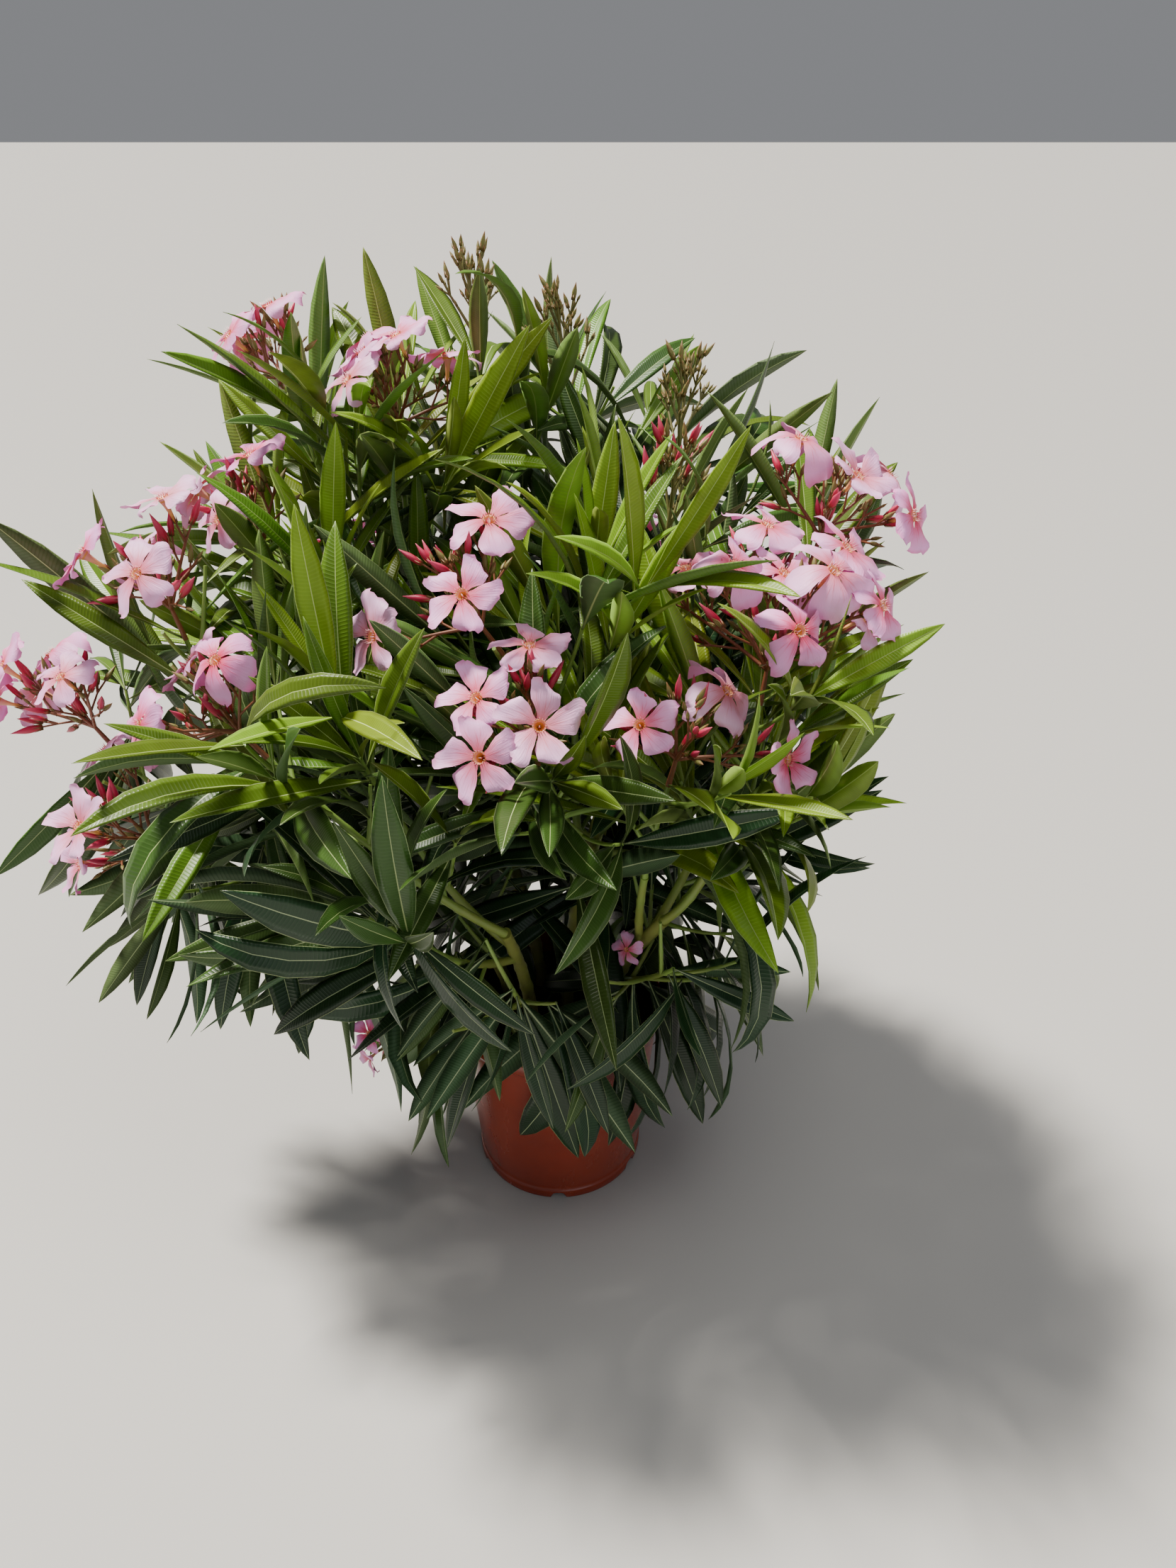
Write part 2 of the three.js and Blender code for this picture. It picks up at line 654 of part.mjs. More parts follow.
// The value at a place, between those listed for rising places
function valueAt(place, places, values) {
  const next = places.findIndex((other) => other > place);
  if (next < 0) return values.at(-1);
  if (next === 0) return values[0];
  const before = places[next - 1];
  return lerp(values[next - 1], values[next], (place - before) / (places[next] - before));
}

function isInCrown({ x, y, z }) {
  if (z < LOWEST_LEAF || z > valueAt(x, CROWN_ACROSS, CROWN_TOP)) return false;
  const across = x / valueAt(z, CROWN_HEIGHTS, CROWN_REACH[x > 0 ? "right" : "left"]);
  const along = y / valueAt(z, CROWN_HEIGHTS, CROWN_REACH[y > 0 ? "back" : "front"]);
  return Math.abs(across) ** FULLNESS + Math.abs(along) ** FULLNESS < 1;
}

// A leaf or stalk grows where its whole shape keeps inside the crown and stands clear of all else.
// From what shares its node only its outer part does.
function grow(shoot, place, makeShape) {
  const { twig, low, corners: root } = place;
  for (const [turn, lean, size] of TRIES) {
    const moved = { ...place, turn: place.turn + turn, lean: place.lean + lean };
    const { own, faces, outer } = makeShape({ ...moved, length: place.length * size });
    if (!own.every(isInCrown)) continue;
    const whole = convexBlock([...root.map((c) => twig.corners[c]), ...own], faces);
    if (!isFree(shoot.name, [whole])) continue;
    if (!shoot.twigs.every((other) => other === twig || isClearOf(whole, other))) continue;
    const nodeMates = shoot.borne.filter((other) => other.low === low);
    const others = shoot.borne.filter((other) => other.low !== low);
    if (!nodeMates.every((other) => standClear(outer, other.outer))) continue;
    if (!others.every((other) => standClear(whole, other.whole))) continue;
    take(shoot.name, [whole]);
    shoot.borne.push({ low, whole, outer });
    twig.borne.push({ root, own, faces });
    return;
  }
}

// The blossom or bud that a flowering twig ends in takes the place of its flat end
function growEnd(twig, open) {
  const last = twig.points.length - 1;
  const heading = twig.points[last].clone().sub(twig.points[last - 1]).normalize();
  const [c0, c1, c2] = [0, 1, 2].map((k) => last * 3 + k);
  const centre = twig.points[last];
  const across = twig.corners[c0].clone().sub(twig.corners[c1]).normalize();
  const frame = { heading, across, upper: heading.clone().cross(across) };
  const stalkEnd = centre.clone().addScaledVector(heading, END_STALK);
  const own = roundRing(stalkEnd, frame, STALK_RADIUS);
  const makeHead = open ? blossomShape : budShape;
  const head = makeHead(stalkEnd, frame, [3, 4, 5], 6);
  const faces = [...ringToRing([0, 1, 2], [3, 4, 5]), ...head.faces];
  twig.borne.push({ root: [c1, c0, c2], own: [...own, ...head.own], faces, end: true });
}

// A twig with all it bears: the faces of each take the place of the twig's own
function twigGeometry(twig) {
  const corners = [...twig.corners];
  const sides = new Set(twig.borne.map(({ root }) => String(root.slice(0, 2))));
  const isSide = ([a, b]) => sides.has(String([a, b])) || sides.has(String([a, b - TWIG_SIDES]));
  const faces = twig.faces.filter((face) => !isSide(face));
  if (twig.borne.some(({ end }) => end)) faces.pop();
  for (const { root, own, faces: added } of twig.borne) {
    const all = [...root, ...own.map((_, i) => corners.length + i)];
    corners.push(...own);
    faces.push(...added.map((face) => face.map((c) => all[c])));
  }
  return facesGeometry(corners, faces);
}

// The part of a flowering shoot's way below its flower stalks
function leafyPart(way) {
  const whole = way[0].distanceTo(way.at(-1));
  return way.slice(0, Math.round(way.length * (1 - STALK_LENGTH / whole)));
}

// A shoot's leading twig
function startShoot(name, way, facing, ends, seed) {
  const random = seededRandom(seed);
  const spin = 360 * random();
  const leaderWay = ends === "leaves" ? way : leafyPart(way);
  const leader = twigAlong(leaderWay, LEADER_RADII, FIRST_NODE, spin, facing);
  take(name, limbBlocks(leader));
  return { name, twigs: [leader], spin, ends, random, borne: [] };
}

// Side twigs round the leading one, each where it stands clear
function branchShoot(shoot) {
  const { name, twigs, spin, random } = shoot;
  const [leader] = twigs;
  const length = leader.points[0].distanceTo(leader.points.at(-1));
  for (const [i, node] of TWIGS_AFTER.entries()) {
    const [low, high] = leader.points.slice(2 * node + 1, 2 * node + 3);
    if (!high) break;
    const ahead = high.clone().sub(low).normalize();
    const base = low.clone().lerp(high, 0.4);
    const out = sideways(ahead, spin + TWIG_TURN * (i + 1));
    const lean = degToRad(TWIG_LEAN + TWIG_LEAN_SPREAD * (random() - 0.5));
    const heading = ahead.multiplyScalar(Math.cos(lean)).addScaledVector(out, Math.sin(lean));
    const reach = length * (TWIG_LENGTH + TWIG_LENGTH_SPREAD * random());
    const end = base.clone().addScaledVector(heading, reach).addScaledVector(UP, TWIG_RISE * reach);
    const bend = base.clone().addScaledVector(heading, reach / 2);
    const sideWay = new THREE.QuadraticBezierCurve3(base, bend, end).getSpacedPoints(WAY_STEPS);
    const twig = twigAlong(sideWay, SIDE_RADII, FIRST_SIDE_NODE, spin + 360 * random());
    const blocks = limbBlocks(twig);
    twig.isSide = true;
    if (!isFree(name, blocks)) continue;
    if (!blocks.slice(1).every((block) => twigs.every((other) => isClearOf(block, other)))) continue;
    take(name, blocks);
    twigs.push(twig);
  }
}

// All the leaves that a shoot may bear
function leavesOf({ twigs, ends, random }) {
  const stalkNodes = ends === "leaves" ? 0 : 1;
  return twigs.flatMap((twig) => leafPlaces(twig, twig.nodes - (twig.isSide ? 0 : stalkNodes), random));
}

// Blossom and buds stand on thin stalks round the top node of the leading twig
function growBlossom(shoot) {
  if (shoot.ends === "leaves") return;
  const [leader] = shoot.twigs;
  const open = shoot.ends === "flowers";
  growEnd(leader, false);
  for (const side of sidesOf(leader, leader.nodes - 1)) {
    const lean = STALK_LEAN + STALK_LEAN_SPREAD * shoot.random();
    const length = STALK_LENGTH * (STALK_SHORTEST + STALK_SPREAD * shoot.random());
    grow(shoot, { ...side, lean, length, open }, stalkShape);
  }
}

// Fuse a shoot's twigs, leaves and blossom into one solid
function fuseShoot(shoot, cut) {
  let solid = closedSolid(twigGeometry(shoot.twigs[0]));
  for (const twig of shoot.twigs.slice(1)) solid = solid.add(closedSolid(twigGeometry(twig)));
  if (cut) solid = solid.subtract(cut);
  addPiece(shoot.name, solidGeometry(solid), leafFinish());
}

pot();
mainStems();

const begun = SHOOTS.map((shoot) => ({ ...boughOf(shoot), shoot }));
for (const shoot of LOW_SHOOTS) {
  begun.push({ way: lowWay(shoot), shoot, cut: stems[shoot.stem].solid });
}

// Every leading twig has its place before any side twig, and blossom comes before leaves
const masses = begun.map(({ way, facing, shoot, cut }, i) => {
  return { cut, ...startShoot(shoot.name, way, facing, shoot.ends, FIRST_SEED + SEED_STEP * (i + 1)) };
});
masses.forEach(branchShoot);
masses.forEach(growBlossom);
const leaves = masses.map(leavesOf);
const mostLeaves = Math.max(...leaves.map((list) => list.length));
for (let i = 0; i < mostLeaves; i++) {
  masses.forEach((mass, m) => {
    if (leaves[m][i]) grow(mass, leaves[m][i], leafShape);
  });
}
for (const mass of masses) fuseShoot(mass, mass.cut);

export default shrub;
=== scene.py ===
import math
import random

import bpy
import numpy as np
from mathutils import Matrix, Vector
from mathutils.bvhtree import BVHTree


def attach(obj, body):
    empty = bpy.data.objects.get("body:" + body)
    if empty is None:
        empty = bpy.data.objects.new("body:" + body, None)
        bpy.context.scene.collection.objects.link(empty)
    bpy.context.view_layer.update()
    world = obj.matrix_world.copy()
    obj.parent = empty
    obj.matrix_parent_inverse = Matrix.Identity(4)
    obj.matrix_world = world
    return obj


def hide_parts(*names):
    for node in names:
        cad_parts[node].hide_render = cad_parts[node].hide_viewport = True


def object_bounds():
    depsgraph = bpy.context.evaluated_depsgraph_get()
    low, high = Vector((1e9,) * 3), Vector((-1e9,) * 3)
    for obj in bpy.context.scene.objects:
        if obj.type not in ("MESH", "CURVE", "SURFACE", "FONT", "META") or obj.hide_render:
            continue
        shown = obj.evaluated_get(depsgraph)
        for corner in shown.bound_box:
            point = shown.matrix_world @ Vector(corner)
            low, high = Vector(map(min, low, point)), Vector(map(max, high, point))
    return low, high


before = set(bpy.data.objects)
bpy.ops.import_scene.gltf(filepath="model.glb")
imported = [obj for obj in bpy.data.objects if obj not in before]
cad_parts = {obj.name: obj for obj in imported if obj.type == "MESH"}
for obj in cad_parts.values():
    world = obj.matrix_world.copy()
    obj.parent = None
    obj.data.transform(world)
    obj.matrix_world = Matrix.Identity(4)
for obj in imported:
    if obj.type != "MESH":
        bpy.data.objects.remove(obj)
cad_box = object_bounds()

# Camera
# A phone camera close to the plant and a little higher than its top, held upright and tilted well
# down, with its usual wide lens.
CAMERA_PLACE = (0.0275, -0.783, 0.88)
CAMERA_TILT = math.radians(31.2)
LENS = 25.97
SENSOR = 36.0

lens = bpy.data.cameras.new("camera")
lens.lens = LENS
lens.sensor_width = SENSOR
camera = bpy.data.objects.new("camera", lens)
camera.location = CAMERA_PLACE
camera.rotation_euler = (math.pi / 2 - CAMERA_TILT, 0, 0)
bpy.context.scene.collection.objects.link(camera)
bpy.context.scene.camera = camera

# Floor and light
# A plain pale floor, a broad key light high behind the plant's left, as the sun stood, and soft
# fill from the front and from the room all round.
FLOOR_SIZE = 60.0
FLOOR_SHADE = (0.42, 0.41, 0.395)
FLOOR_ROUGHNESS = 0.7
ROOM_SHADE = (0.93, 0.95, 1.0)
ROOM_STRENGTH = 0.25
KEY_PLACE = (-1.15, 0.65, 2.9)
KEY_ANGLE = math.radians(9)
KEY_STRENGTH = 9.6
KEY_SHADE = (1.0, 0.95, 0.86)
SOFT_LIGHTS = {
    "top": {"place": (0.5, -0.6, 2.6), "size": 1.2, "power": 20, "shade": (1.0, 0.98, 0.95)},
    "fill": {"place": (0.9, -2.2, 1.3), "size": 1.8, "power": 6, "shade": (0.92, 0.96, 1.0)},
}
LIGHT_TARGET = Vector((0, 0, 0.4))


def link(name, data):
    """A new object at the origin, linked to the scene."""
    piece = bpy.data.objects.new(name, data)
    bpy.context.scene.collection.objects.link(piece)
    return piece


def mesh_of(name, points, faces, edges=()):
    """A mesh from plain arrays of corners, and of faces or edges."""
    mesh = bpy.data.meshes.new(name)
    mesh.from_pydata([tuple(map(float, p)) for p in points], list(edges), list(faces))
    mesh.update()
    return mesh


def live(sockets, key):
    """The socket in use that has this name or number."""
    used = [socket for socket in sockets if socket.enabled]
    return used[key] if isinstance(key, int) else next(s for s in used if s.name == key)


def feed(node, values):
    """Give a node's inputs, by name or number, plain values, shades or other nodes' outputs."""
    for key, value in values.items():
        socket = live(node.inputs, key)
        if isinstance(value, bpy.types.NodeSocket):
            node.id_data.links.new(value, socket)
        else:
            socket.default_value = (*value, 1) if socket.type == "RGBA" else value


def finish(name, shade, roughness, more={}):
    """A material whose shader has these plain values, with its node tree and its shader."""
    material = bpy.data.materials.new(name)
    material.use_nodes = True
    shader = material.node_tree.nodes["Principled BSDF"]
    feed(shader, {"Base Color": shade, "Roughness": roughness, **more})
    return material, material.node_tree, shader


half = FLOOR_SIZE / 2
floor_corners = [(-half, -half, 0), (half, -half, 0), (half, half, 0), (-half, half, 0)]
floor = link("floor", mesh_of("floor", floor_corners, [(0, 1, 2, 3)]))
floor.data.materials.append(finish("floor_paint", FLOOR_SHADE, FLOOR_ROUGHNESS)[0])


def hang_light(name, kind, place, power, shade):
    """A lamp of a kind that looks at the plant from a place."""
    lamp = bpy.data.lights.new(name, kind)
    lamp.energy = power
    lamp.color = shade
    light = link(name, lamp)
    light.location = place
    light.rotation_euler = (LIGHT_TARGET - light.location).to_track_quat("-Z", "Y").to_euler()
    return lamp


hang_light("key", "SUN", KEY_PLACE, KEY_STRENGTH, KEY_SHADE).angle = KEY_ANGLE
for light_name, spec in SOFT_LIGHTS.items():
    lamp = hang_light(light_name, "AREA", spec["place"], spec["power"], spec["shade"])
    lamp.shape = "DISK"
    lamp.size = spec["size"]

room = bpy.data.worlds.new("room")
room.use_nodes = True
feed(room.node_tree.nodes["Background"], {"Color": ROOM_SHADE, "Strength": ROOM_STRENGTH})
bpy.context.scene.world = room

# Pot
# A thin injection-moulded nursery pot in glossy terracotta-coloured plastic: tapering sides, a
# rolled rim, a stepped foot with notches that let water out, faint mould rings and dust.
POT_HEIGHT = 0.182
POT_FOOT_RADIUS = 0.078
POT_TOP_RADIUS = 0.092
POT_WALL = 0.002
POT_FLOOR = 0.003
FOOT_BAND = 0.009
FOOT_STEP = 0.0015
RIM_DROP = 0.013
RIM_LIP = 0.003
RIM_ROUND = 0.0015
POT_SIDES = 192
SIDE_STEPS = 30
RIM_STEPS = 6
MOULD_RING_HEIGHT = 0.022
MOULD_RING_WIDTH = 0.0012
MOULD_RING_DEPTH = 0.00025
NOTCHES = 6
NOTCH_HALF_ANGLE = 0.09
NOTCH_HEIGHT = 0.006
NOTCH_STEEPNESS = 3
NOTCHED_RINGS = range(2, 6)
POT_SHADE = (0.26, 0.027, 0.006)
POT_DUSTY_SHADE = (0.31, 0.052, 0.017)
POT_DEEP_SHADE = (0.19, 0.020, 0.005)
POT_ROUGHNESS = 0.2
POT_ROUGHNESS_RANGE = (0.12, 0.38)
POT_GLOSS = {"Specular IOR Level": 0.4, "Coat Weight": 0.3, "Coat Roughness": 0.05}
DUST_STRETCH = (26, 26, 11)
DUST_SHARE = (0.35, 0.35, 0.35)


def turns_of(count):
    """Equal turns round a full circle."""
    return [2 * math.pi * k / count for k in range(count)]


def around(turn, radius=1.0, z=0.0):
    """A point at a turn round the upright axis."""
    return Vector((radius * math.cos(turn), radius * math.sin(turn), z))


def turned(name, profile, sides, move=None):
    """A body turned from a closed profile of radius and height. move may shift each corner."""
    turns = turns_of(sides)
    points = [around(turn, radius, z) for radius, z in profile for turn in turns]
    if move:
        points = [move(i // sides, turns[i % sides], point) for i, point in enumerate(points)]
    last = len(points) - sides
    faces = [(a + k, a + (k + 1) % sides, a + sides + (k + 1) % sides, a + sides + k)
             for a in range(0, last, sides) for k in range(sides)]
    faces += [tuple(range(sides))[::-1], tuple(range(last, last + sides))]
    return mesh_of(name, points, faces)


def pot_profile():
    """The pot's section, from the middle of its underside round the rim to its inner floor."""
    shoulder = POT_HEIGHT - RIM_DROP
    waist = POT_FOOT_RADIUS - FOOT_STEP
    lip = POT_TOP_RADIUS + RIM_LIP
    slope = (POT_TOP_RADIUS - waist) / (shoulder - FOOT_BAND)
    profile = [(0.02, 0.0), (0.045, 0.0), (0.068, 0.0), (POT_FOOT_RADIUS - 0.0012, 0.0)]
    profile += [(POT_FOOT_RADIUS - 0.0003, 0.0004), (POT_FOOT_RADIUS, 0.0012)]
    profile += [(POT_FOOT_RADIUS, FOOT_BAND - 0.0008), (POT_FOOT_RADIUS - 0.0004, FOOT_BAND)]
    profile += [(waist + 0.0002, FOOT_BAND + 0.0005)]
    for i in range(1, SIDE_STEPS):
        z = FOOT_BAND + 0.0015 + (shoulder - FOOT_BAND - 0.003) * i / SIDE_STEPS
        ring = MOULD_RING_DEPTH * math.exp(-(((z - MOULD_RING_HEIGHT) / MOULD_RING_WIDTH) ** 2))
        profile.append((waist + slope * (z - FOOT_BAND) + ring, z))
    profile += [(POT_TOP_RADIUS - 0.0002, shoulder - 0.0006), (POT_TOP_RADIUS + 0.001, shoulder + 0.0002)]
    profile += [(lip - 0.0003, shoulder + 0.001), (lip, shoulder + 0.002)]
    for i in range(RIM_STEPS + 1):
        turn = math.pi * i / RIM_STEPS
        profile.append((lip - RIM_ROUND + RIM_ROUND * math.cos(turn),
                        POT_HEIGHT - RIM_ROUND + RIM_ROUND * math.sin(turn)))
    profile += [(POT_TOP_RADIUS - 0.0006, POT_HEIGHT - 0.003), (POT_TOP_RADIUS - POT_WALL, shoulder - 0.002)]
    profile += [(waist - POT_WALL + slope * (POT_FLOOR - FOOT_BAND), POT_FLOOR), (0.02, POT_FLOOR)]
    return profile


def with_notches(ring, turn, corner):
    """Lift the foot's lower edge where a drain notch is."""
    step = 2 * math.pi / NOTCHES
    off = abs(turn % step - step / 2)
    if ring in NOTCHED_RINGS and off < NOTCH_HALF_ANGLE:
        corner.z += NOTCH_HEIGHT * min(1, NOTCH_STEEPNESS * (1 - off / NOTCH_HALF_ANGLE))
    return corner


def add(tree, kind, *inputs, out=0, **named):
    """The output of a new node. Settings are named in small letters, inputs with a capital."""
    node = tree.nodes.new(kind)
    for name, value in named.items():
        if name[0].islower():
            setattr(node, name, value)
    feed(node, dict(enumerate(inputs)))
    feed(node, {name.replace("_", " "): value for name, value in named.items() if name[0].isupper()})
    return live(node.outputs, out)


def graded(tree, value, stops):
    """A shade graded over a value, by stops of (value, shade)."""
    node = tree.nodes.new("ShaderNodeValToRGB")
    for element, (position, shade) in zip(node.color_ramp.elements, (stops[0], stops[-1])):
        element.position, element.color = position, (*shade, 1)
    for position, shade in stops[1:-1]:
        node.color_ramp.elements.new(position).color = (*shade, 1)
    feed(node, {"Fac": value})
    return node.outputs["Color"]


def mixed(tree, share, under, over):
    """One shade over another by a share."""
    return add(tree, "ShaderNodeMix", share, under, over, data_type="RGBA")


def ranged(tree, value, low, high, to_low=0.0, to_high=1.0):
    """A value moved from one range to another."""
    return add(tree, "ShaderNodeMapRange", value, low, high, to_low, to_high)


def bumped(tree, height, strength, distance):
    """The relief that a height gives."""
    return add(tree, "ShaderNodeBump", Height=height, Strength=strength, Distance=distance)


def noise(tree, place, scale, detail, **more):
    """Noise over a place."""
    return add(tree, "ShaderNodeTexNoise", Vector=place, Scale=scale, Detail=detail, **more)


def pot_finish():
    """Glossy moulded plastic: broad cloudy tone, a bloom of dust and dried splashes."""
    material, tree, shader = finish("terracotta_plastic", POT_SHADE, POT_ROUGHNESS, POT_GLOSS)
    place = add(tree, "ShaderNodeTexCoord", out="Object")
    clouds = noise(tree, place, 14, 5)
    stretched = add(tree, "ShaderNodeMapping", Vector=place, Scale=DUST_STRETCH)
    streaks = noise(tree, stretched, 1.0, 7, Roughness=0.62)
    dust = graded(tree, streaks, [(0.50, (0, 0, 0)), (0.85, DUST_SHARE)])
    tone = graded(tree, clouds, [(0.32, POT_DEEP_SHADE), (0.62, POT_SHADE)])
    feed(shader, {"Base Color": mixed(tree, dust, tone, POT_DUSTY_SHADE),
                  "Roughness": ranged(tree, streaks, 0.0, 1.0, *POT_ROUGHNESS_RANGE),
                  "Normal": bumped(tree, streaks, 0.12, 0.0004)})
    return material


pot = link("nursery_pot", turned("nursery_pot", pot_profile(), POT_SIDES, with_notches))
pot.data.shade_smooth()
pot.data.materials.append(pot_finish())
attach(pot, "root")
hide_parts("pot")

# Compost
# Dark peat-free potting compost, a little below the rim: a lumpy surface under loose crumbs and
# slivers of composted bark.
SOIL_LEVEL = 0.160
SOIL_RADIUS = 0.0885
SOIL_BOTTOM = 0.120
SOIL_RINGS = 26
SOIL_SIDES = 72
SOIL_RELIEF = 0.0035
SOIL_WAVES = 14
SOIL_WAVE = (30, 190)
WAVE_TURN = (0, 6.3)
SOIL_FALL = 0.6
SOIL_TAPER = 0.97
SOIL_SEED = 5
SOIL_SHADE = (0.020, 0.013, 0.009)
BARK_SHADE = (0.085, 0.045, 0.024)
CRUMB_SIZE = 0.0022
CRUMB_DENSITY = 62000
CRUMB_KINDS = 6
CRUMB_SEED = 11
FIRST_CRUMB_SEED = 30
CRUMB_SIZES = (0.25, 1.0)
CRUMB_SHADE = (0.028, 0.017, 0.011)
CRUMB_LIGHT_SHADE = (0.13, 0.075, 0.04)
SOIL_ROUGHNESS = 0.92
SOIL_GRAINS = 260
CRUMB_GRAINS = 420
SPIN = 6.28


def soil_mesh():
    """A round slab whose upper face is lumpy and falls a little towards the pot's wall."""
    dice = random.Random(SOIL_SEED)
    waves = [(dice.uniform(*SOIL_WAVE), dice.uniform(*WAVE_TURN), dice.uniform(*WAVE_TURN))
             for _ in range(SOIL_WAVES)]
    points = [(0, 0, SOIL_LEVEL)]
    for i in range(1, SOIL_RINGS + 1):
        r = SOIL_RADIUS * i / SOIL_RINGS
        for turn in turns_of(SOIL_SIDES):
            x, y = r * math.cos(turn), r * math.sin(turn)
            lift = sum(math.sin(f * (x * math.cos(a) + y * math.sin(a)) + b) for f, a, b in waves)
            fall = SOIL_FALL * (i / SOIL_RINGS) ** 3
            points.append((x, y, SOIL_LEVEL + SOIL_RELIEF * (lift / SOIL_WAVES - fall)))
    points += [around(turn, SOIL_RADIUS * SOIL_TAPER, SOIL_BOTTOM) for turn in turns_of(SOIL_SIDES)]
    ring = lambda i: 1 + (i - 1) * SOIL_SIDES
    faces = [(0, 1 + k, 1 + (k + 1) % SOIL_SIDES) for k in range(SOIL_SIDES)]
    for i in range(1, SOIL_RINGS + 1):
        for k in range(SOIL_SIDES):
            n = (k + 1) % SOIL_SIDES
            faces.append((ring(i) + k, ring(i + 1) + k, ring(i + 1) + n, ring(i) + n))
    faces.append(tuple(ring(SOIL_RINGS + 1) + k for k in range(SOIL_SIDES))[::-1])
    return mesh_of("compost", points, faces)


def soil_finish(name, dark, light, scale):
    """Matt crumbly stuff: two tones in fine grains, with grit to feel."""
    material, tree, shader = finish(name, dark, SOIL_ROUGHNESS)
    grains = noise(tree, add(tree, "ShaderNodeTexCoord", out="Object"), scale, 8)
    feed(shader, {"Base Color": graded(tree, grains, [(0.4, dark), (0.75, light)]),
                  "Normal": bumped(tree, grains, 0.8, 0.001)})
    return material


def shapes_collection(name, meshes):
    """A collection of shapes that a tree picks from by number."""
    shapes = bpy.data.collections.new(name)
    for i, mesh in enumerate(meshes):
        shapes.objects.link(bpy.data.objects.new(f"{name}_{i:02d}", mesh))
    return shapes


def new_tree(name, inputs):
    """A node tree with a geometry input, inputs of these names and kinds and a geometry output."""
    tree = bpy.data.node_groups.new(name, "GeometryNodeTree")
    for label, kind in {"Base": "Geometry", **inputs}.items():
        tree.interface.new_socket(label, in_out="INPUT", socket_type=f"NodeSocket{kind}")
    tree.interface.new_socket("Result", in_out="OUTPUT", socket_type="NodeSocketGeometry")
    return tree, tree.nodes.new("NodeGroupInput").outputs, tree.nodes.new("NodeGroupOutput")


def instances(tree, points, shapes, **more):
    """Plain copies of a collection's shapes, one on each point."""
    pick = add(tree, "GeometryNodeCollectionInfo", shapes, Separate_Children=True, Reset_Children=True)
    copies = add(tree, "GeometryNodeInstanceOnPoints", points, Instance=pick, Pick_Instance=True, **more)
    return add(tree, "GeometryNodeRealizeInstances", copies)


def worked(tree, operation, *values):
    """The result of a sum on values or outputs."""
    return add(tree, "ShaderNodeMath", *values, operation=operation)


def result(tree, geometry, finish_given, outside):
    """End a tree with one finish for the whole."""
    feed(outside, {"Result": add(tree, "GeometryNodeSetMaterial", geometry, Material=finish_given)})
    return tree


def made_by(tree, base, values, name):
    """The plain mesh that a tree makes of a base mesh, with its inputs set by identifier."""
    carrier = link(f"{name}_carrier", base)
    modifier = carrier.modifiers.new(name, "NODES")
    modifier.node_group = tree
    for item in tree.interface.items_tree:
        if item.in_out == "INPUT" and item.name in values:
            modifier[item.identifier] = values[item.name]
    depsgraph = bpy.context.evaluated_depsgraph_get()
    mesh = bpy.data.meshes.new_from_object(
        carrier.evaluated_get(depsgraph), preserve_all_data_layers=True, depsgraph=depsgraph)
    mesh.name = name
    carrier.modifiers.remove(modifier)
    bpy.data.objects.remove(carrier)
    return mesh


def crumb_tree():
    """Crumbs strewn over a surface: distribute points, put a turned and sized shape on each."""
    tree, given, outside = new_tree("strewn_crumbs", {
        "Shapes": "Collection", "Density": "Float", "Size": "Float", "Seed": "Int", "Finish": "Material"})
    upward = add(tree, "ShaderNodeSeparateXYZ", add(tree, "GeometryNodeInputNormal"), out="Z")
    strewn = add(tree, "GeometryNodeDistributePointsOnFaces", given["Base"], Density=given["Density"],
                 Seed=given["Seed"], Selection=add(tree, "FunctionNodeCompare", upward, 0.5))
    turn = add(tree, "FunctionNodeRandomValue", data_type="FLOAT_VECTOR", Max=(SPIN,) * 3, Seed=given["Seed"])
    share = add(tree, "FunctionNodeRandomValue", *CRUMB_SIZES, Seed=given["Seed"])
    size = worked(tree, "MULTIPLY", share, given["Size"])
    return result(tree, instances(tree, strewn, given["Shapes"], Rotation=turn, Scale=size),
                  given["Finish"], outside)


def crumb_mesh(i):
    """A rough lump or a sliver, one unit across."""
    dice = random.Random(FIRST_CRUMB_SEED + i)
    stretch = (1.0, dice.uniform(0.35, 0.8), dice.uniform(0.25, 0.7))
    corners = [(1, 0, 0), (-1, 0, 0), (0, 1, 0), (0, -1, 0), (0, 0, 1), (0, 0, -1)]
    points = [[c * s * dice.uniform(0.7, 1.2) + dice.uniform(-0.15, 0.15) for c, s in zip(corner, stretch)]
              for corner in corners]
    faces = [(0, 2, 4), (2, 1, 4), (1, 3, 4), (3, 0, 4), (2, 0, 5), (1, 2, 5), (3, 1, 5), (0, 3, 5)]
    return mesh_of(f"crumb_{i}", points, faces)


soil = link("compost", soil_mesh())
soil.data.shade_smooth()
soil.data.materials.append(soil_finish("dark_compost", SOIL_SHADE, BARK_SHADE, SOIL_GRAINS))
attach(soil, "root")
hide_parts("soil")

crumb_shapes = shapes_collection("crumb_shapes", [crumb_mesh(i) for i in range(CRUMB_KINDS)])
crumbs = link("compost_crumbs", made_by(crumb_tree(), soil.data.copy(), {
    "Shapes": crumb_shapes, "Density": CRUMB_DENSITY, "Size": CRUMB_SIZE, "Seed": CRUMB_SEED,
    "Finish": soil_finish("bark_crumbs", CRUMB_SHADE, CRUMB_LIGHT_SHADE, CRUMB_GRAINS)}, "compost_crumbs"))
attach(crumbs, "root")

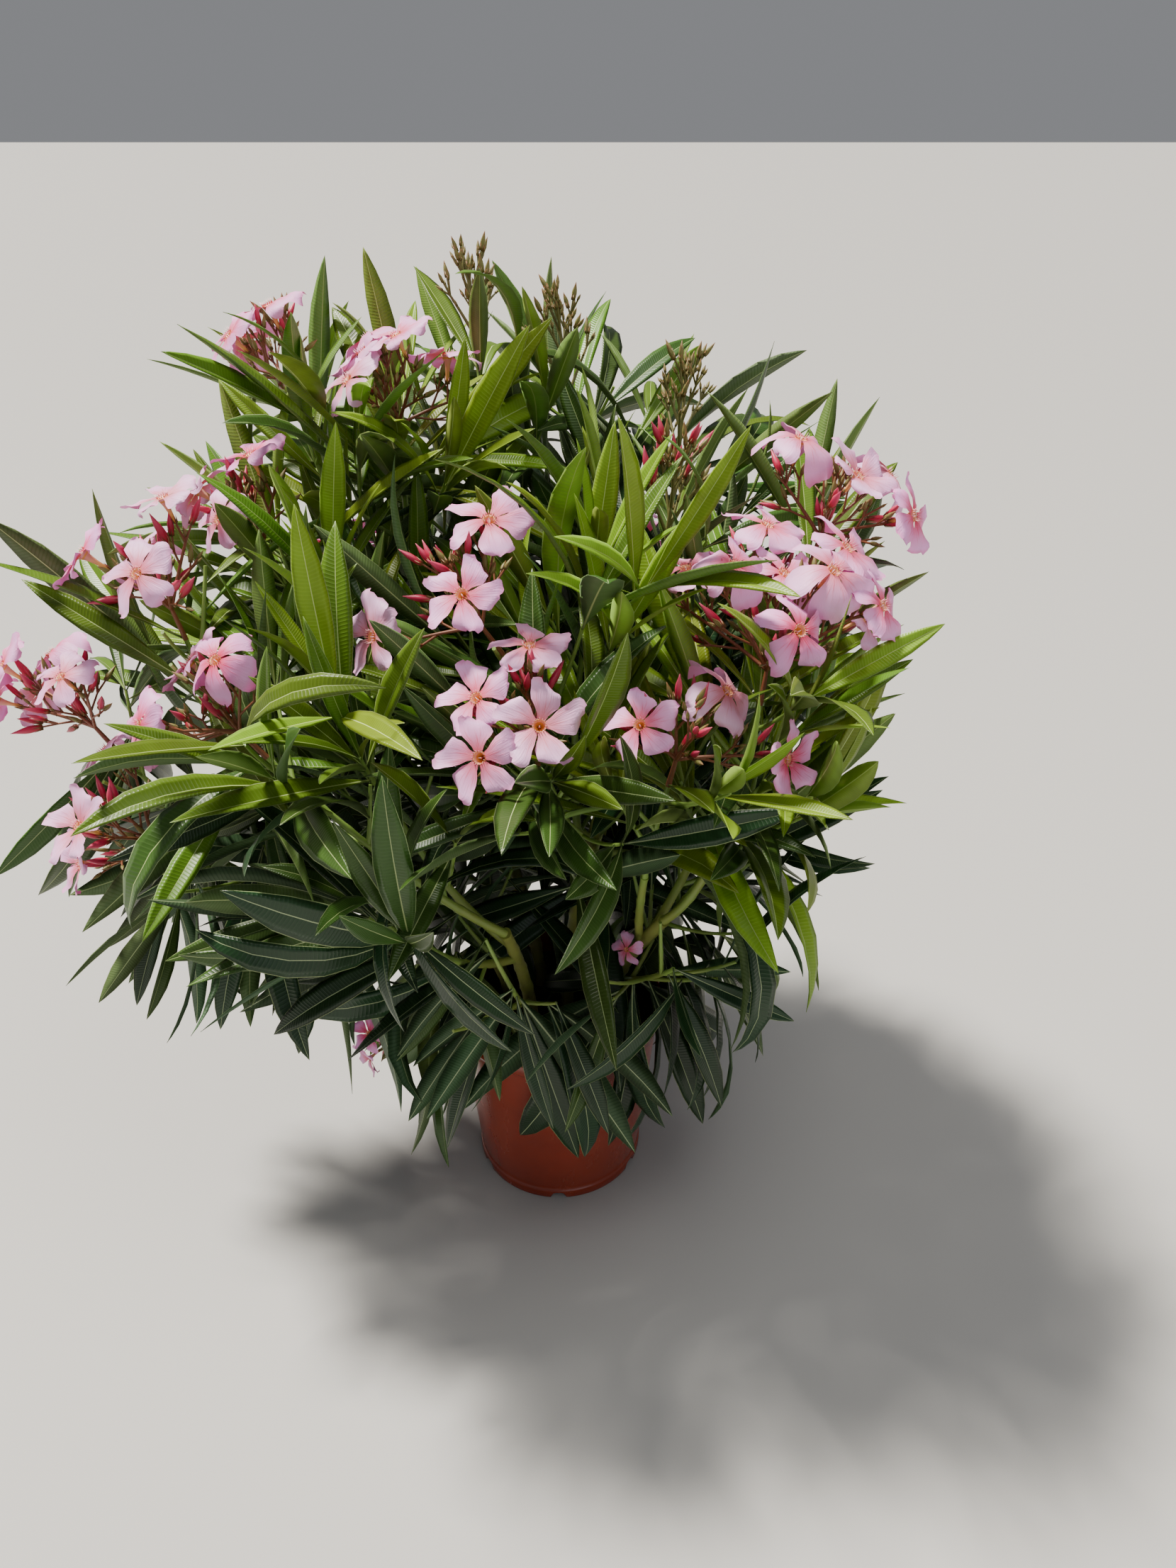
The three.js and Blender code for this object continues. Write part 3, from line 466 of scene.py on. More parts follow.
# Main stems
# Six green-brown woody stems rise out of the compost, a little flared at the foot, and lean
# outwards. They swell a little at the nodes where old leaves fell, and the bark has pale flecks.
STEMS = {
    "left": ((-0.042, 0.008), (-0.150, 0.012, 0.330)),
    "front": ((-0.020, -0.038), (-0.038, -0.082, 0.318)),
    "centre": ((0.008, -0.004), (0.038, -0.028, 0.400)),
    "right": ((0.044, -0.018), (0.088, -0.066, 0.318)),
    "back_left": ((-0.018, 0.042), (-0.078, 0.096, 0.365)),
    "back_right": ((0.026, 0.040), (0.048, 0.104, 0.350)),
}
STEM_RADII = (0.0058, 0.0046)
STEM_FLARE = 1.35
FLARE_HEIGHT = 0.030
STEM_RISE = 0.45
STEM_SUNK = 0.004
STEM_GAP = 0.030
STEM_FIRST_NODE = 0.028
STEM_SPIN = 0.9
WAY_STEPS = 100
TIP_CROWDING = 0.5
CROWDING_FADE = 0.4
NODE_SWELL = 0.14
NODE_SWELL_LENGTH = 0.0032
LIMB_STEP = 0.0025
UP = Vector((0, 0, 1))
STEM_LOW_SHADE = (0.16, 0.13, 0.05)
STEM_HIGH_SHADE = (0.27, 0.30, 0.058)
SCAR_SHADE = (0.27, 0.21, 0.11)


def even_points(points, count):
    """Points evenly spaced along a path."""
    run = np.concatenate([[0], np.cumsum(np.linalg.norm(np.diff(points, axis=0), axis=1))])
    at = np.linspace(0, run[-1], count)
    return np.stack([np.interp(at, run, points[:, k]) for k in range(3)], axis=1)


def curved_way(start, bend, end):
    """Evenly spaced points on the curve from start to end that heads for the bend."""
    t = np.linspace(0, 1, 4 * WAY_STEPS + 1)[:, None]
    curve = (1 - t) ** 2 * np.array(start) + 2 * t * (1 - t) * np.array(bend) + t ** 2 * np.array(end)
    return even_points(curve, WAY_STEPS + 1)


def length_of(way):
    return float(np.linalg.norm(np.diff(way, axis=0), axis=1).sum())


class Limb:
    """A stem, bough or twig: its way, its radii and the places of its leaf nodes."""

    def __init__(self, way, radii, first, gap, spin, kind, shoot=None):
        self.way = way
        self.length = length_of(way)
        self.radii = radii
        self.kind = kind
        self.shoot = shoot
        self.spin = spin
        self.nodes = self.node_places(first, gap)

    def node_places(self, first, gap):
        """How far along its leaf nodes are: evenly spaced, but ever closer near a twig's tip."""
        places, at, step = [], self.length, gap
        if self.kind not in ("stem", "bough"):
            step = gap * TIP_CROWDING
        while at > first:
            places.append(at)
            at -= step
            step += (gap - step) * CROWDING_FADE
        return places[::-1]

    def at(self, distance):
        """The point, direction and radius at a distance along the limb."""
        share = min(max(distance / self.length, 0), 1)
        i = min(int(share * (len(self.way) - 1)), len(self.way) - 2)
        low, high = Vector(self.way[i]), Vector(self.way[i + 1])
        point = low.lerp(high, share * (len(self.way) - 1) - i)
        return point, (high - low).normalized(), self.radii[0] + (self.radii[1] - self.radii[0]) * share

    def outline(self):
        """The points and radii that its skin follows, swollen at the nodes."""
        count = max(4, int(self.length / LIMB_STEP) + 1)
        points = even_points(self.way, count)
        at = np.linspace(0, self.length, count)
        radii = self.radii[0] + (self.radii[1] - self.radii[0]) * at / self.length
        if self.kind == "stem":
            radii = radii * (1 + (STEM_FLARE - 1) * np.clip(1 - at / FLARE_HEIGHT, 0, 1))
        for node in self.nodes:
            radii = radii * (1 + NODE_SWELL * np.exp(-(((at - node) / NODE_SWELL_LENGTH) ** 2)))
        return points, radii


def sideways(along, turn):
    """A direction square to a limb, at a turn round it."""
    across = Vector((1, 0, 0))
    across = (across - along * across.dot(along)).normalized()
    return Matrix.Rotation(turn, 3, along) @ across


def limbs_mesh(name, limbs):
    """The middle lines of limbs as bare edges, with a radius at every point."""
    points, edges, radii = [], [], []
    for limb in limbs:
        line, thickness = limb.outline()
        edges += [(len(points) + i, len(points) + i + 1) for i in range(len(line) - 1)]
        points += list(line)
        radii += list(thickness)
    mesh = mesh_of(name, points, [], edges)
    mesh.attributes.new("radius", "FLOAT", "POINT").data.foreach_set("value", radii)
    return mesh


def bark_tree():
    """A skin round middle lines: a many-sided tube as thick as they say, raised by fine relief."""
    tree, given, outside = new_tree("limb_skin", {
        "Sides": "Int", "Relief": "Float", "Relief scale": "Float", "Finish": "Material"})
    skin = add(tree, "GeometryNodeCurveToMesh", Fill_Caps=True,
               Curve=add(tree, "GeometryNodeMeshToCurve", given["Base"]),
               Profile_Curve=add(tree, "GeometryNodeCurvePrimitiveCircle", given["Sides"], Radius=1.0),
               Scale=add(tree, "GeometryNodeInputNamedAttribute", Name="radius"))
    bumps = add(tree, "ShaderNodeTexNoise", Scale=given["Relief scale"], Detail=4)
    height = worked(tree, "MULTIPLY", worked(tree, "SUBTRACT", bumps, 0.5), given["Relief"])
    outward = add(tree, "GeometryNodeInputNormal")
    shift = add(tree, "ShaderNodeVectorMath", outward, operation="SCALE", Scale=height)
    raised = add(tree, "GeometryNodeSetPosition", skin, Offset=shift)
    return result(tree, add(tree, "GeometryNodeRealizeInstances", raised), given["Finish"], outside)


def bark_finish(name, low, high, bottom, top, roughness):
    """Smooth young bark that turns from brown at the foot to green above, with pale flecks."""
    material, tree, shader = finish(name, high, roughness)
    place = add(tree, "ShaderNodeTexCoord", out="Object")
    patches = noise(tree, place, 45, 6)
    height = ranged(tree, add(tree, "ShaderNodeSeparateXYZ", place, out="Z"), bottom, top)
    tone = graded(tree, worked(tree, "ADD", height, patches), [(0.4, low), (1.0, high)])
    flecks = add(tree, "ShaderNodeTexVoronoi", Vector=place, Scale=420)
    feed(shader, {"Base Color": mixed(tree, ranged(tree, flecks, 0.22, 0.12, 0.0, 0.55), tone, SCAR_SHADE),
                  "Normal": bumped(tree, patches, 0.5, 0.0004)})
    return material


def grown_piece(name, mesh):
    """A smooth piece that rides on the root."""
    mesh.shade_smooth()
    piece = link(name, mesh)
    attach(piece, "root")
    return piece


def skinned(name, limbs, sides, relief, relief_scale, material):
    """The limbs' skin as one plain mesh."""
    mesh = made_by(skin_tree, limbs_mesh(name, limbs), {
        "Sides": sides, "Relief": relief, "Relief scale": relief_scale, "Finish": material}, name)
    return grown_piece(name, mesh)


skin_tree = bark_tree()
stems = {}
for stem_name, (foot, top) in STEMS.items():
    start = Vector((*foot, SOIL_LEVEL - STEM_SUNK))
    bend = start + UP * STEM_RISE * (top[2] - start.z)
    way = curved_way(start, bend, top)
    spin = len(stems) * STEM_SPIN
    stems[stem_name] = Limb(way, STEM_RADII, STEM_FIRST_NODE, STEM_GAP, spin, "stem", stem_name)
stem_bark = bark_finish("stem_bark", STEM_LOW_SHADE, STEM_HIGH_SHADE, 0.16, 0.46, 0.5)
stems_piece = skinned("stems", list(stems.values()), 20, 0.0009, 240.0, stem_bark)
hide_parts(*[f"{stem_name}_stem" for stem_name in STEMS])

# Boughs
# One green bough for each leafy shoot: the first carries on from its stem's top, and the others
# part from the stem below it, lower and lower.
SHOOTS = {
    "left_flowers": ("left", (-0.279, -0.020, 0.602), "flowers"),
    "far_left_flowers": ("left", (-0.378, 0.004, 0.495), "flowers"),
    "left_hanging_flowers": ("left", (-0.334, -0.062, 0.420), "flowers"),
    "left_low_flowers": ("front", (-0.240, -0.086, 0.532), "flowers"),
    "left_inner_leaves": ("front", (-0.146, -0.074, 0.512), "leaves"),
    "front_left_leaves": ("front", (-0.104, -0.150, 0.392), "leaves"),
    "centre_flowers": ("centre", (-0.066, -0.068, 0.603), "flowers"),
    "front_flowers": ("centre", (-0.014, -0.122, 0.545), "flowers"),
    "centre_leaves": ("centre", (0.030, -0.012, 0.580), "leaves"),
    "red_buds": ("centre", (0.095, 0.054, 0.640), "buds"),
    "right_flowers": ("right", (0.156, -0.056, 0.576), "flowers"),
    "right_top_flowers": ("right", (0.203, 0.008, 0.650), "flowers"),
    "right_low_flowers": ("right", (0.095, -0.122, 0.531), "flowers"),
    "right_side_leaves": ("right", (0.156, -0.068, 0.446), "leaves"),
    "mid_left_flowers": ("back_left", (-0.119, 0.118, 0.699), "flowers"),
    "back_left_flowers": ("back_left", (-0.219, 0.150, 0.723), "flowers"),
    "left_back_flowers": ("back_left", (-0.233, 0.058, 0.626), "flowers"),
    "back_left_low_flowers": ("back_left", (-0.196, 0.262, 0.505), "flowers"),
    "back_buds": ("back_right", (0.0, 0.222, 0.715), "buds"),
    "tall_buds": ("back_right", (-0.068, 0.206, 0.752), "buds"),
    "back_right_buds": ("back_right", (0.108, 0.170, 0.676), "buds"),
    "back_right_flowers": ("back_right", (0.196, 0.180, 0.505), "flowers"),
    "back_low_flowers": ("back_right", (0.044, 0.298, 0.520), "flowers"),
}
BOUGH_RADII = (0.0037, 0.0029)
BOUGH_SHARE = 0.36
BOUGH_FIRST_NODE = 0.030
BOUGH_GAP = 0.030
BOUGH_SPIN = 1.7
FORK_STEP = 0.13
FORK_LEAN = math.radians(42)
SHOOT_BEND = 0.3
YOUNG_BARK_SHADE = (0.20, 0.33, 0.06)


def shoot_way(start, heading, top):
    """The way of a shoot from its stem: outwards first, then up towards its top."""
    reach = Vector(top) - start
    bend = start + heading * SHOOT_BEND * reach.length + Vector((reach.x, reach.y, 0)) * SHOOT_BEND
    return curved_way(start, bend, top)


boughs = {}
leader_ways = {}
used = {stem_name: 0 for stem_name in STEMS}
for shoot_name, (stem_name, top, ends) in SHOOTS.items():
    stem = stems[stem_name]
    leads = used[stem_name] == 0
    start, _, _ = stem.at(stem.length * (1 - FORK_STEP * used[stem_name]))
    used[stem_name] += 1
    _, along, _ = stem.at(stem.length)
    away = Vector(top) - start
    away = (away - along * away.dot(along)).normalized()
    heading = along if leads else along * math.cos(FORK_LEAN) + away * math.sin(FORK_LEAN)
    way = shoot_way(start, heading, top)
    end = round(WAY_STEPS * BOUGH_SHARE)
    spin = len(boughs) * BOUGH_SPIN
    boughs[shoot_name] = Limb(
        way[:end + 1], BOUGH_RADII, BOUGH_FIRST_NODE, BOUGH_GAP, spin, "bough", shoot_name)
    leader_ways[shoot_name] = way[end:]
young_bark = bark_finish("young_bark", STEM_HIGH_SHADE, YOUNG_BARK_SHADE, 0.28, 0.55, 0.42)
boughs_piece = skinned("boughs", list(boughs.values()), 14, 0.0005, 300.0, young_bark)
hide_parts(*[f"{shoot_name}_bough" for shoot_name in SHOOTS])

# Leafy twigs
# Every bough leads on into a green twig with side twigs round it, and six low shoots leave the
# stems directly. Flowering shoots stop their leaves below the flower stalks.
LOW_SHOOTS = {
    "low_left_shoot": ("left", 0.4, (-0.152, -0.066, 0.158), "flowers"),
    "low_front_leaves": ("front", 0.34, (-0.030, -0.124, 0.296), "leaves"),
    "low_right_leaves": ("right", 0.4, (0.094, -0.104, 0.300), "leaves"),
    "low_side_leaves": ("right", 0.5, (0.136, 0.024, 0.356), "leaves"),
    "low_back_leaves": ("back_right", 0.4, (0.078, 0.156, 0.322), "leaves"),
    "low_back_left_leaves": ("back_left", 0.4, (-0.106, 0.150, 0.322), "leaves"),
}
LOW_RISE = 0.5
LEADER_RADII = (0.0028, 0.0017)
SIDE_RADII = (0.0021, 0.0012)
SOURCE_NODE_GAP = 0.036
SOURCE_NODE_HEIGHT = 0.005
SOURCE_FIRST_NODE = 0.14
NODE_GAP = 0.027
FIRST_NODE = 0.010
FIRST_SIDE_NODE = 0.022
TWIGS_AFTER = (1, 2, 3)
GOLDEN_TURN = math.radians(137.5)
TWIG_LEAN = 40
TWIG_LEAN_SPREAD = 12
TWIG_LENGTH = 0.42
TWIG_LENGTH_SPREAD = 0.15
TWIG_RISE = 0.12
STALK_LENGTH = 0.062
SPUR_LENGTH = (0.035, 0.075)
SPUR_RADII = (0.0019, 0.0012)
SPUR_GAP = 0.022
SPUR_FIRST_NODE = 0.016
SPUR_LEAN = (48, 64)
SPUR_RISE = 0.25
SPUR_JITTER = 0.3
SPURS_TO = 0.96
BARE_STEMS = ("front", "right")
STEM_SPURS = 3
STEM_SPURS_FROM = 0.34
BOUGH_SPURS = 3
BOUGH_SPURS_FROM = 0.2
LEADER_SPURS = 3
LEADER_SPURS_FROM = 0.1
SPUR_SEED = 515
FIRST_SEED = 41
SEED_STEP = 977
CROWN_GAPS = [((-0.036, -0.085, 0.335), (-0.020, -0.260, 0.470), 0.036),
              ((-0.010, -0.055, 0.250), (0.010, -0.200, 0.350), 0.022),
              ((0.088, -0.066, 0.330), (0.085, -0.260, 0.480), 0.028),
              ((0.059, -0.080, 0.287), (0.053, -0.230, 0.414), 0.015),
              ((-0.064, -0.055, 0.060), (-0.051, -0.161, 0.179), 0.025),
              ((-0.014, -0.085, 0.057), (-0.008, -0.176, 0.164), 0.018)]


def seeded_random(seed):
    """A generator that gives the same numbers between 0 and 1 for the same seed."""
    multiplier, size = 16807, 2 ** 31 - 1
    state = seed
    while True:
        state = (state * multiplier) % size
        yield state / size


def side_way(limb, distance, turn, lean, reach, rise):
    """The way of a twig that leaves a limb at a turn round it, and rises a little."""
    base, ahead, _ = limb.at(distance)
    heading = ahead * math.cos(lean) + sideways(ahead, turn) * math.sin(lean)
    return curved_way(base, base + heading * reach / 2, base + heading * reach + UP * rise * reach)


def shoot_twigs(name, way, ends, seed):
    """A shoot's leading twig, and the side twigs that its source gives it."""
    dice = seeded_random(seed)
    spin = 2 * math.pi * next(dice)
    if ends != "leaves":
        whole = float(np.linalg.norm(way[-1] - way[0]))
        way = way[:round(len(way) * (1 - STALK_LENGTH / whole))]
    leader = Limb(way, LEADER_RADII, FIRST_NODE, NODE_GAP, spin, "leader", name)
    room = leader.length * (1 - SOURCE_FIRST_NODE) - SOURCE_NODE_HEIGHT
    count = max(2, round(room / SOURCE_NODE_GAP) + 1)
    twigs = [leader]
    for i, node in enumerate(TWIGS_AFTER):
        if node >= count:
            break
        low = leader.length * SOURCE_FIRST_NODE + room * (node - 0.6) / (count - 1)
        lean = math.radians(TWIG_LEAN + TWIG_LEAN_SPREAD * (next(dice) - 0.5))
        reach = leader.length * (TWIG_LENGTH + TWIG_LENGTH_SPREAD * next(dice))
        side = side_way(leader, low, spin + GOLDEN_TURN * (i + 1), lean, reach, TWIG_RISE)
        side_spin = spin + 2 * math.pi * next(dice)
        twigs.append(Limb(side, SIDE_RADII, FIRST_SIDE_NODE, NODE_GAP, side_spin, "side", name))
    return twigs


def crosses_gap(points, inner, outer, radius):
    """Whether any of the points lies in a round gap between two places."""
    start, run = np.array(inner), np.array(outer) - np.array(inner)
    share = np.clip((points - start) @ run / (run @ run), 0, 1)
    return (np.linalg.norm(points - start - share[:, None] * run, axis=1) < radius).any()


def spurs_on(limb, first_share, count, dice):
    """Short leafy spurs that leave an older limb at its nodes, all round it but out of the gaps."""
    grown = []
    for i in range(count):
        share = first_share + (SPURS_TO - first_share) * (i + 0.5) / count
        turn = limb.spin + GOLDEN_TURN * i + dice.uniform(-SPUR_JITTER, SPUR_JITTER)
        lean = math.radians(dice.uniform(*SPUR_LEAN))
        way = side_way(limb, limb.length * share, turn, lean, dice.uniform(*SPUR_LENGTH), SPUR_RISE)
        spin = dice.uniform(0, SPIN)
        if not any(crosses_gap(way, *gap) for gap in CROWN_GAPS):
            grown.append(Limb(way, SPUR_RADII, SPUR_FIRST_NODE, SPUR_GAP, spin, "spur", limb.shoot))
    return grown


shoot_ends = {shoot_name: ends for shoot_name, (_, _, ends) in SHOOTS.items()}
for shoot_name, (stem_name, share, top, ends) in LOW_SHOOTS.items():
    start, _, _ = stems[stem_name].at(stems[stem_name].length * share)
    heading = ((Vector(top) - start).normalized() + UP * LOW_RISE).normalized()
    leader_ways[shoot_name] = shoot_way(start, heading, top)
    shoot_ends[shoot_name] = ends

shoots = {}
for i, (shoot_name, way) in enumerate(leader_ways.items()):
    seed = FIRST_SEED + SEED_STEP * (i + 1)
    shoots[shoot_name] = shoot_twigs(shoot_name, way, shoot_ends[shoot_name], seed)
twigs = [twig for group in shoots.values() for twig in group]
spur_dice = random.Random(SPUR_SEED)
for stem_name, stem in stems.items():
    if stem_name not in BARE_STEMS:
        twigs += spurs_on(stem, STEM_SPURS_FROM, STEM_SPURS, spur_dice)
for bough in boughs.values():
    twigs += spurs_on(bough, BOUGH_SPURS_FROM, BOUGH_SPURS, spur_dice)
for leader, *sides in shoots.values():
    twigs += spurs_on(leader, LEADER_SPURS_FROM, LEADER_SPURS, spur_dice)
MASS_NAMES = list(shoots)
twig_bark = bark_finish("twig_bark", STEM_HIGH_SHADE, YOUNG_BARK_SHADE, 0.20, 0.45, 0.4)
twigs_piece = skinned("leafy_twigs", twigs, 8, 0.0003, 400.0, twig_bark)
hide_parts(*MASS_NAMES)

# Flower stalks
# Each flowering shoot ends in a spray of thin red-brown stalks: a main stalk, rays from its end,
# and short stalks that bear open flowers and buds at their ends.
OPEN_FLOWERS = {
    "left_flowers": 4, "far_left_flowers": 5, "left_hanging_flowers": 3, "left_low_flowers": 4,
    "centre_flowers": 3, "front_flowers": 4, "right_flowers": 11, "right_top_flowers": 4,
    "right_low_flowers": 3, "mid_left_flowers": 5, "back_left_flowers": 3, "left_back_flowers": 3,
    "back_left_low_flowers": 5, "back_right_flowers": 4, "back_low_flowers": 6, "low_left_shoot": 2,
}
MAIN_STALK = 0.024
MAIN_STALK_RADII = (0.0022, 0.0016)
RAY_LENGTH = (0.028, 0.050)
FULL_RAYS = 5
FEW_FLOWERS = 2
RAY_JITTER = 0.4
RAY_BRANCHES = 2
RAY_LEAN = 12
RAY_LEAN_SPREAD = 62
RAY_RISE = 0.08
BRANCH_LENGTH = (0.010, 0.020)
HEAD_STALK = (0.008, 0.015)
BUD_STALK = (0.005, 0.014)
STALK_SUNK = 0.002
STALK_RADII = (0.0015, 0.0010)
HEAD_STALK_RADII = (0.0010, 0.0008)
BUD_STALK_RADII = (0.0009, 0.0007)
TALL_STALK_RADII = (0.0021, 0.0012)
TALL_RAYS = 8
TALL_RAY_LEAN = 32
TALL_RAY_LENGTH = 0.042
BUDS = 5
BUDS_BY_FLOWER = 3
BUD_LEAN = (8, 42)
BUD_RISE = 0.25
BUD_SIZES = (0.85, 1.15)
RIPE = 0.74
RIPEST = 0.87
SMALL_FLOWER = 0.62
FLOWER_SIZES = (0.88, 1.10)
FACING_OUT = 0.55
FACING_UP = (0.15, 0.6)
TUBE_LENGTH = 0.020
FLOWER_REACH = 0.024
FLOWER_ROOM = 0.038
FLOWER_TRIES = 16
CROWN_MIDDLE = 0.10
SPRAYS_IN_VIEW = ("left_flowers", "far_left_flowers", "left_hanging_flowers", "left_low_flowers")
VIEW_LENGTH = 0.13
VIEW_RADIUS = 0.034
RIPEST_BUDS = {"mid_left_flowers": 0.78, "back_left_flowers": 0.78, "left_back_flowers": 0.85}
LONE_FLOWER = {"stem": "right", "share": 0.74, "tip": (-0.45, -0.62, 0.25), "stalk": 0.006, "size": 0.52}
FIRST_SPRAY_SEED = 700
STALK_SHADE = (0.20, 0.065, 0.028)
STALK_GREEN_SHADE = (0.20, 0.19, 0.05)
BUD_STALK_SHADE = (0.15, 0.14, 0.04)

stalks, flower_heads, bud_heads, spray_middles, flower_centres = [], [], [], [], []


def add_stalk(start, end, radii, lift=0.0):
    """A thin stalk that bows upwards a little between two points."""
    bend = start.lerp(end, 0.5) + UP * lift
    stalks.append(Limb(curved_way(start, bend, end), radii, 9.0, 1.0, 0.0, "stalk"))


def flower_spray(shoot_name, dice):
    """A spray at a shoot's end: rays round its heading, each with flowers or buds at its end."""
    leader = shoots[shoot_name][0]
    base, heading, _ = leader.at(leader.length)
    hub = base + heading * MAIN_STALK
    add_stalk(base - heading * STALK_SUNK, hub, MAIN_STALK_RADII)
    spray_middles.append(hub + heading * 0.045 + UP * 0.012)
    if shoot_name in SPRAYS_IN_VIEW:
        viewer = (Vector(CAMERA_PLACE) - spray_middles[-1]).normalized()
        CROWN_GAPS.append((spray_middles[-1], spray_middles[-1] + viewer * VIEW_LENGTH, VIEW_RADIUS))
    spin = dice.uniform(0, SPIN)
    flowers = OPEN_FLOWERS[shoot_name]
    full = flowers > FEW_FLOWERS
    rays = max(FULL_RAYS, flowers) if full else flowers
    ripest = RIPEST_BUDS.get(shoot_name, 1.0)
    full_size = 1.0 if full else SMALL_FLOWER
    outward = Vector((base.x, base.y - CROWN_MIDDLE, 0)).normalized()
    for i in range(rays):
        for _ in range(FLOWER_TRIES):
            lean = math.radians(RAY_LEAN + RAY_LEAN_SPREAD * (i + dice.random()) / rays)
            out = sideways(heading, spin + GOLDEN_TURN * i + dice.uniform(-RAY_JITTER, RAY_JITTER))
            way = (heading * math.cos(lean) + out * math.sin(lean) + UP * RAY_RISE).normalized()
            end = hub + way * dice.uniform(*RAY_LENGTH) * math.sqrt(rays / FULL_RAYS)
            tip = (way * 0.6 + outward * FACING_OUT + UP * dice.uniform(*FACING_UP)).normalized()
            foot = end + tip * dice.uniform(*HEAD_STALK)
            centre = foot + tip * TUBE_LENGTH
            if all((centre - other).length > FLOWER_ROOM for other in flower_centres):
                break
        add_stalk(hub, end, STALK_RADII, 0.002)
        if rays - i <= flowers:
            flower_centres.append(centre)
            add_stalk(end, foot, HEAD_STALK_RADII)
            flower_heads.append((foot, tip, full_size * dice.uniform(*FLOWER_SIZES), dice))
        spray_of_buds(end, way, dice, BUDS_BY_FLOWER if rays - i <= flowers else BUDS, ripest)
        for k in range(RAY_BRANCHES if full else 0):
            fork = hub.lerp(end, 0.35 + 0.3 * k)
            branch = (way + sideways(way, spin + 2.4 * i + 3.1 * k) * 0.8 + UP * 0.2).normalized()
            tip = fork + branch * dice.uniform(*BRANCH_LENGTH)
            add_stalk(fork, tip, HEAD_STALK_RADII)
            spray_of_buds(tip, branch, dice, BUDS_BY_FLOWER, ripest)
    spray_of_buds(hub, heading, dice, 4, ripest)


def spray_of_buds(end, way, dice, count, ripest=1.0):
    """Buds of several ages on short stalks at a ray's end."""
    spin = dice.uniform(0, SPIN)
    for i in range(count):
        lean = math.radians(dice.uniform(*BUD_LEAN))
        out = sideways(way, spin + GOLDEN_TURN * i)
        tip = (way * math.cos(lean) + out * math.sin(lean) + UP * BUD_RISE).normalized()
        foot = end + tip * dice.uniform(*BUD_STALK)
        add_stalk(end, foot, BUD_STALK_RADII)
        bud_heads.append((foot, tip, ripest * dice.random(), dice.uniform(*BUD_SIZES)))


def tall_spray(shoot_name, dice):
    """A taller spray of closed buds: a main stalk with upright rays all along it."""
    leader = shoots[shoot_name][0]
    base, heading, _ = leader.at(leader.length)
    heading = (heading + UP * 0.5).normalized()
    top = base + heading * (STALK_LENGTH + 0.006)
    add_stalk(base - heading * STALK_SUNK, top, TALL_STALK_RADII)
    spray_middles.append(top + heading * 0.010)
    spin = dice.uniform(0, SPIN)
    ripest = 1.0 if shoot_name == "red_buds" else RIPE
    for i in range(TALL_RAYS):
        hub = base.lerp(top, 0.15 + 0.11 * i)
        lean = math.radians(TALL_RAY_LEAN - 2 * i)
        out = sideways(heading, spin + GOLDEN_TURN * i)
        way = (heading * math.cos(lean) + out * math.sin(lean)).normalized()
        end = hub + way * (TALL_RAY_LENGTH - 0.003 * i)
        add_stalk(hub, end, STALK_RADII, 0.001)
        spray_of_buds(end, way, dice, BUDS, ripest)
        spray_of_buds(hub.lerp(end, 0.55), way, dice, 2, 0.5 * ripest)
    spray_of_buds(top, heading, dice, BUDS, ripest)


spray_seed = FIRST_SPRAY_SEED
for shoot_name, ends in shoot_ends.items():
    spray_seed += 1
    if ends == "flowers":
        flower_spray(shoot_name, random.Random(spray_seed))
lone_stem = stems[LONE_FLOWER["stem"]]
lone_foot, _, lone_radius = lone_stem.at(lone_stem.length * LONE_FLOWER["share"])
lone_tip = Vector(LONE_FLOWER["tip"]).normalized()
lone_end = lone_foot + lone_tip * (lone_radius + LONE_FLOWER["stalk"])
add_stalk(lone_foot + lone_tip * lone_radius * 0.5, lone_end, HEAD_STALK_RADII)
flower_heads.append((lone_end, lone_tip, LONE_FLOWER["size"], random.Random(spray_seed)))
flower_stalks = list(stalks)
for shoot_name, ends in shoot_ends.items():
    spray_seed += 1
    if ends == "buds":
        tall_spray(shoot_name, random.Random(spray_seed))
bud_stalks = stalks[len(flower_stalks):]
stalk_skin = bark_finish("stalk_skin", STALK_GREEN_SHADE, STALK_SHADE, 0.2, 0.5, 0.45)
skinned("flower_stalks", flower_stalks, 6, 0.0, 300.0, stalk_skin)
bud_stalk_skin = bark_finish("bud_stalk_skin", STALK_GREEN_SHADE, BUD_STALK_SHADE, 0.4, 0.8, 0.5)
skinned("bud_stalks", bud_stalks, 6, 0.0, 300.0, bud_stalk_skin)

# Blossom
# Funnel-shaped flowers some 50 mm across: five pale pink petals that lap like a pinwheel, deeper
# pink towards a fringed throat with an orange heart, on a pink tube in a small red-brown cup.
PETALS = 5
PETAL_SHARES = (0.0, 0.14, 0.30, 0.46, 0.61, 0.75, 0.87, 0.95, 1.0)
PETAL_HALVES = (0.0026, 0.0040, 0.0063, 0.0085, 0.0101, 0.0107, 0.0103, 0.0087, 0.0052)
PETAL_COLUMNS = 7
THROAT_RADIUS = 0.0042
PETAL_REACH = 0.0272
PETAL_THICK = 0.0002
FRINGE = 15
CUP_SCALES = 5
TUBE_SIDES = 10
TUBE_RINGS = [(0.0011, 0.0, 0.0), (0.0014, 0.004, 0.2), (0.0016, 0.009, 0.45), (0.0024, 0.014, 0.7),
              (0.0036, 0.0178, 0.9), (0.0046, TUBE_LENGTH - 0.0002, 1.0), (0.0043, TUBE_LENGTH, 0.0),
              (0.0034, TUBE_LENGTH - 0.003, 0.5), (0.0004, TUBE_LENGTH - 0.008, 1.0)]
TUBE_PARTS = (2, 2, 2, 2, 2, 3, 3, 3)
FIRST_BLOSSOM_SEED = 900
